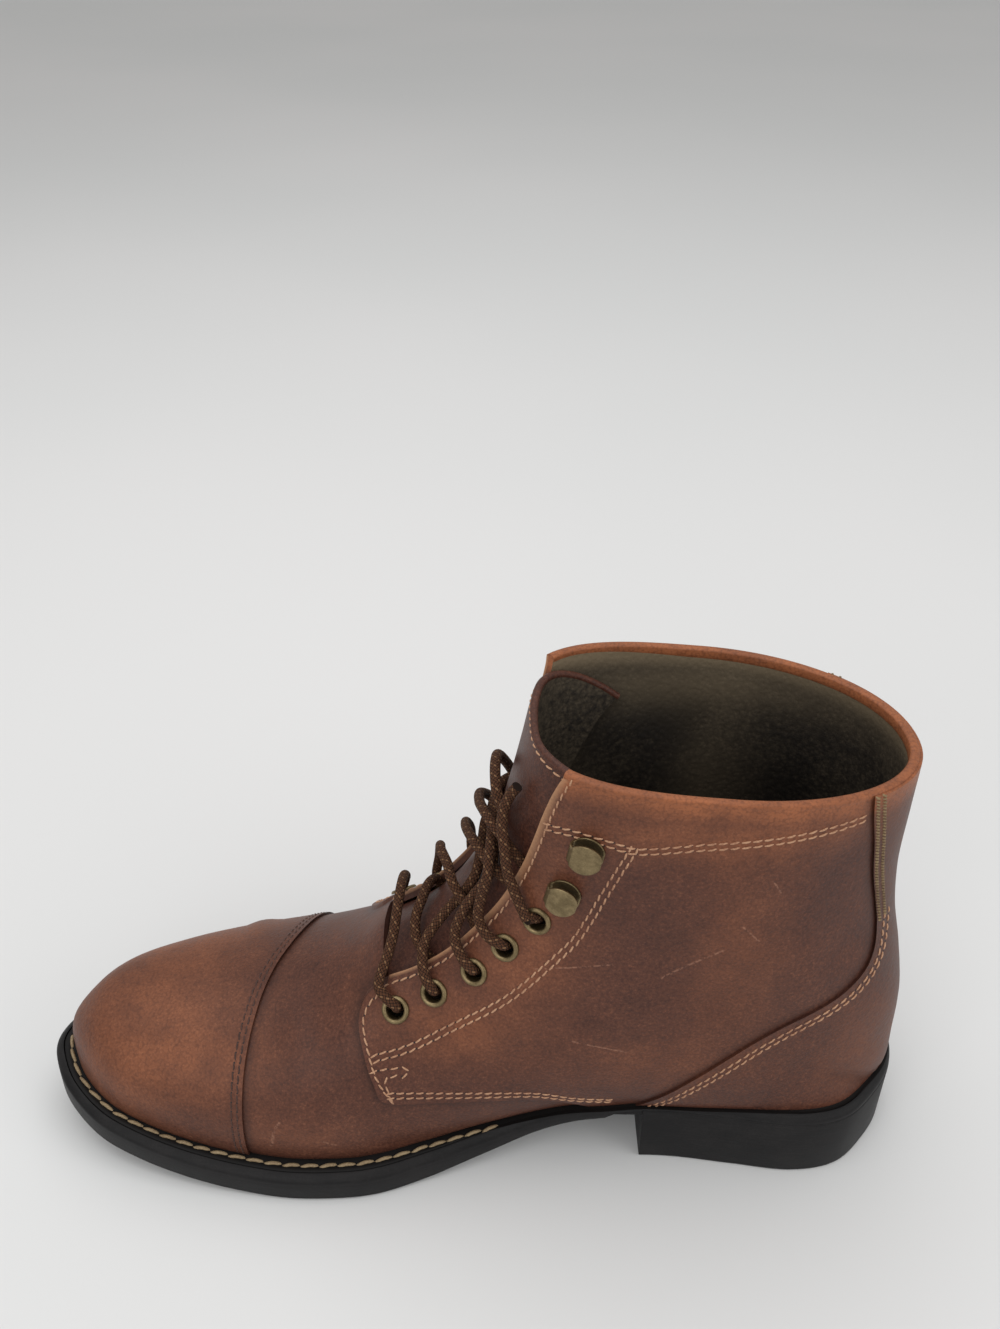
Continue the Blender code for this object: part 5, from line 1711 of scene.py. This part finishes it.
class Surface:
    """The finished leather, to lay seams on."""

    def __init__(self, layers):
        points, faces = [], []
        for layer in layers:
            first = len(points)
            points += [v.co.copy() for v in layer.data.vertices]
            faces += [[k + first for k in face.vertices] for face in layer.data.polygons]
        self.tree = BVHTree.FromPolygons(points, faces)

    def from_side(self, outline, side, steps=6):
        """A line drawn in the side view, laid on the leather of one side."""
        line, ups = [], []
        for along, up in smooth_line(outline, steps):
            origin = (along * SOLE_LENGTH - CENTRE_X, side * BALL_WIDTH, up * COLLAR_HEIGHT)
            place, normal, _, _ = self.tree.ray_cast(Vector(origin), Vector((0.0, -side, 0.0)))
            if place is not None and place.y * side > 0.004:
                line.append(np.array(place))
                ups.append(np.array(normal))
        return spaced(line, ups)

    def nearest(self, points):
        """Points brought onto the leather, with its normals."""
        line, ups = [], []
        for point in points:
            place, normal, _, _ = self.tree.find_nearest(Vector(point))
            above, up, _, _ = self.tree.ray_cast(place + normal * LAYERS_REACH, -normal, LAYERS_REACH * 2)
            line.append(np.array(place if above is None else above))
            ups.append(np.array(normal if above is None else up))
        return spaced(line, ups)


def spaced(line, ups):
    """A line with its normals evened out along it."""
    ups = np.asarray(ups)
    if len(ups) > 4:
        padded = np.vstack([ups[:1], ups[:1], ups, ups[-1:], ups[-1:]])
        ups = sum(padded[k:k + len(ups)] for k in range(5))
        ups /= np.linalg.norm(ups, axis=1)[:, None]
    return np.asarray(line), ups


def beside(outline, offset):
    """A line in the side view moved sideways by an offset in metres, positive to its left."""
    scale = np.array([SOLE_LENGTH, COLLAR_HEIGHT])
    line = smooth_line(outline, 3) * scale
    run = np.gradient(line, axis=0)
    run /= np.linalg.norm(run, axis=1)[:, None]
    return [tuple(point) for point in (line + np.column_stack([-run[:, 1], run[:, 0]]) * offset) / scale]


EYESTAY_SEAM = [
    (0.603, 0.330), (0.552, 0.368), (0.466, 0.481), (0.404, 0.607), (0.383, 0.671),
    (0.367, 0.747), (0.341, 0.868),
]
COLLAR_SEAM = [
    (0.420, 0.878), (0.393, 0.885), (0.357, 0.878), (0.333, 0.870), (0.276, 0.885),
    (0.200, 0.895), (0.116, 0.905),
]
BAR_TACK = [
    (0.604, 0.300), (0.570, 0.308), (0.569, 0.292), (0.590, 0.285), (0.586, 0.240),
]
BASE_SEAM = [
    (0.586, 0.240), (0.532, 0.240), (0.470, 0.240), (0.425, 0.233), (0.385, 0.205),
    (0.345, 0.190),
]
ROW_APART = 0.0020

# How far each row lies from the edge that it follows
FRONT_INSET = 0.0016
FACING_INSET = 0.0026
COUNTER_INSET = 0.0030
OVERCAST_INSETS = (0.0010, 0.0032)
CAP_INSETS = (0.0016, 0.0036)
WELT_INSET = 0.0026

# Sizes of the threads and of the dark bits of painted shade in the holes between their stitches, in metres,
# and their slant in radians
STITCH_PITCH = 0.0032
FINE_STITCH = {"Pitch": STITCH_PITCH, "Length": 0.0028, "Thickness": 0.00066, "Rise": 0.00010,
               "Shift": 0.0, "Slant": 0.16}
CAP_STITCH = {**FINE_STITCH, "Rise": 0.00002}
# Dark bits sunk between the stitches, standing in for the holes' shade
HOLE_SHADE_STITCH = {"Pitch": STITCH_PITCH, "Length": 0.0009, "Thickness": 0.0010, "Rise": -0.00036,
               "Shift": STITCH_PITCH / 2, "Slant": 0.0}
OVERCAST_STITCH = {"Pitch": 0.0013, "Length": 0.0016, "Thickness": 0.0008, "Rise": 0.0002,
                   "Shift": 0.0, "Slant": 0.9}
WELT_STITCH = {"Pitch": 0.0062, "Length": 0.0056, "Thickness": 0.0013, "Rise": 0.0002,
               "Shift": 0.001, "Slant": 0.12}


def cap_row(surface, offset):
    """A row beside the cap's edge, from the inner lower edge over the top to the outer."""
    edge = smooth_line(CAP_EDGE, 6) * (SOLE_LENGTH, BALL_WIDTH) - (CENTRE_X, CENTRE_Y)
    order = np.argsort(edge[:, 1])
    found = []
    for side, shares in ((1, np.linspace(0.97, 0.0, 34)), (-1, np.linspace(0.03, 0.97, 33))):
        for share in shares:
            low, high = 4.0, 10.0
            for _ in range(14):
                place = (low + high) / 2
                line = last_line(round(place, 4), side)
                point = walk(line, [line_length(line) * share])[0]
                edge_x = np.interp(point[1], edge[order, 1], edge[order, 0])
                low, high = (place, high) if point[0] > edge_x + offset else (low, place)
            found.append(point)
    return surface.nearest(found)


def facing_row(surface, side, inset, last=24.7):
    """A row beside a facing's edge, from the throat to the collar."""
    places = np.linspace(THROAT_ROW + 0.10, last, 60)
    points = [lace_point(round(place, 4), side, inset, QUARTER_STEP) for place in places]
    return surface.nearest(points)


def welt_row():
    """The thread on the welt, from the inner waist round the toe to the outer waist."""
    rows = []
    for line in (INNER_LINE, OUTER_LINE):
        moved = inset_line(line, lambda x: ledge(x) - WELT_INSET)
        moved = moved[(moved[:, 0] > SOLE_LENGTH * 0.47)]
        rows.append([(x - CENTRE_X, y - CENTRE_Y, sole_top(x) + 0.0001) for x, y in moved])
    line = np.array(rows[0] + rows[1][::-1])
    keep = [0]
    for k in range(1, len(line)):
        if np.linalg.norm(line[k] - line[keep[-1]]) > 0.0008:
            keep.append(k)
    line = line[keep]
    return line, np.tile((0.0, 0.0, 1.0), (len(line), 1))


def make_stitching(surface, tongue_row, finishes):
    """Every row of thread on the boot, with dark bits of painted shade in the holes between its stitches."""
    light, dark, olive, welt, hole_shade = finishes
    tree = thread_tree()
    light_rows, dark_rows, olive_rows = [tongue_row], [], []
    for side in (1, -1):
        front = QUARTER_EDGE[2:8]
        lay = lambda outline: surface.from_side(outline, side)
        light_rows.append(lay(beside(front, -FRONT_INSET)))
        light_rows += [lay(beside(BASE_SEAM, shift)) for shift in (0.0, -ROW_APART)]
        light_rows += [lay(beside(EYESTAY_SEAM, shift)) for shift in (0.0, ROW_APART)]
        light_rows += [lay(beside(COLLAR_SEAM, shift)) for shift in (0.0, ROW_APART)]
        light_rows.append(facing_row(surface, side, FACING_INSET))
        counter = COUNTER_EDGE[4:12]
        light_rows += [lay(beside(counter, -shift)) for shift in (COUNTER_INSET, COUNTER_INSET + ROW_APART)]
        light_rows.append(lay(BAR_TACK))
        olive_rows += [lay(beside(COUNTER_EDGE[1:5], -shift)) for shift in OVERCAST_INSETS]
    for shift in CAP_INSETS:
        dark_rows.append(cap_row(surface, shift))
    sew("light_thread", tree, light_rows, light, "brown_leather", FINE_STITCH)
    sew("pinhole_shade", tree, light_rows, hole_shade, "brown_leather", HOLE_SHADE_STITCH)
    sew("cap_thread", tree, dark_rows, dark, "brown_leather", CAP_STITCH)
    sew("cap_pinhole_shade", tree, dark_rows, hole_shade, "brown_leather", HOLE_SHADE_STITCH)
    sew("counter_thread", tree, olive_rows, olive, "brown_leather", OVERCAST_STITCH)
    sew("welt_thread", tree, [welt_row()], welt, "black_welt", WELT_STITCH)


FLOOR_REACH = 6.0
# Area lamps: name, place, aim, width in metres and power in watts
LAMPS = [
    ("overhead", (0.10, -0.15, 1.30), (0.0, 0.0, 0.0), 1.6, 9.5),
    ("front_fill", (0.55, 1.20, 0.95), (0.0, 0.0, 0.06), 1.2, 6.5),
    ("heel_fill", (-1.20, 0.60, 0.70), (0.0, 0.0, 0.06), 1.0, 4.0),
]
SKY_COLOR = (1.0, 0.99, 0.975, 1.0)
SKY_STRENGTH = 0.52


def make_studio():
    """Pale floor, soft overhead light and a wide fill from the camera's side."""
    reach = FLOOR_REACH
    corners = [(-reach, -reach, 0), (reach, -reach, 0), (reach, reach, 0), (-reach, reach, 0)]
    floor = new_object("floor", corners, [(0, 1, 2, 3)], [floor_finish()])
    for name, place, aim, width, power in LAMPS:
        lamp = bpy.data.lights.new(name, "AREA")
        lamp.size = width
        lamp.energy = power
        thing = bpy.data.objects.new(name, lamp)
        bpy.context.scene.collection.objects.link(thing)
        thing.location = place
        thing.rotation_euler = (Vector(aim) - Vector(place)).to_track_quat("-Z", "Y").to_euler()
    world = bpy.data.worlds.new("studio")
    world.use_nodes = True
    sky = world.node_tree.nodes["Background"]
    sky.inputs["Color"].default_value = SKY_COLOR
    sky.inputs["Strength"].default_value = SKY_STRENGTH
    bpy.context.scene.world = world
    bpy.context.scene.view_settings.view_transform = "Standard"


make_camera()
make_laces(lace_finish())
rubber = rubber_finish("black_rubber_moulded", RUBBER, RUBBER_WORN, 0.52)
make_sole(rubber)
make_welt(rubber_finish("black_welt_dressed", WELT_BLACK, RUBBER, 0.60))
plain_leather = leather_finish("brown_leather_waxed")
scuffed_leather = leather_finish("brown_leather_scuffed", scuffed=True)
tongue_leather = leather_finish("brown_leather_tongue", shade=-0.06)
# Leather painted darker on the cut edges and the panels' steps, as the shade on these thin faces
shaded_edge_leather = leather_finish("brown_leather_edge_shaded", shade=-0.22)
lining = lining_finish("olive_lining_soft", 0.46, 0.96)
tongue_lining = lining_finish("olive_lining_tongue", 0.36, 0.74)
leather_layers = make_upper((plain_leather, scuffed_leather, shaded_edge_leather, lining))
make_collar(plain_leather)
tongue_seam = make_tongue(tongue_leather, tongue_lining)
brass = brass_finish()
make_eyelets(brass)
make_hooks(brass)
make_stitching(Surface(leather_layers), tongue_seam, (
    thread_finish("light_thread_waxed", THREAD_LIGHT, linear(150, 104, 78)),
    thread_finish("dark_thread_waxed", THREAD_DARK, linear(48, 30, 24)),
    thread_finish("olive_thread_waxed", THREAD_OLIVE, linear(92, 70, 48)),
    thread_finish("welt_thread_waxed", THREAD_WELT, linear(120, 98, 72)),
    thread_finish("pinhole_painted_shade", PINHOLE_SHADE, PINHOLE_SHADE),
))
for material_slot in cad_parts["insole"].material_slots:
    material_slot.material = lining
make_studio()
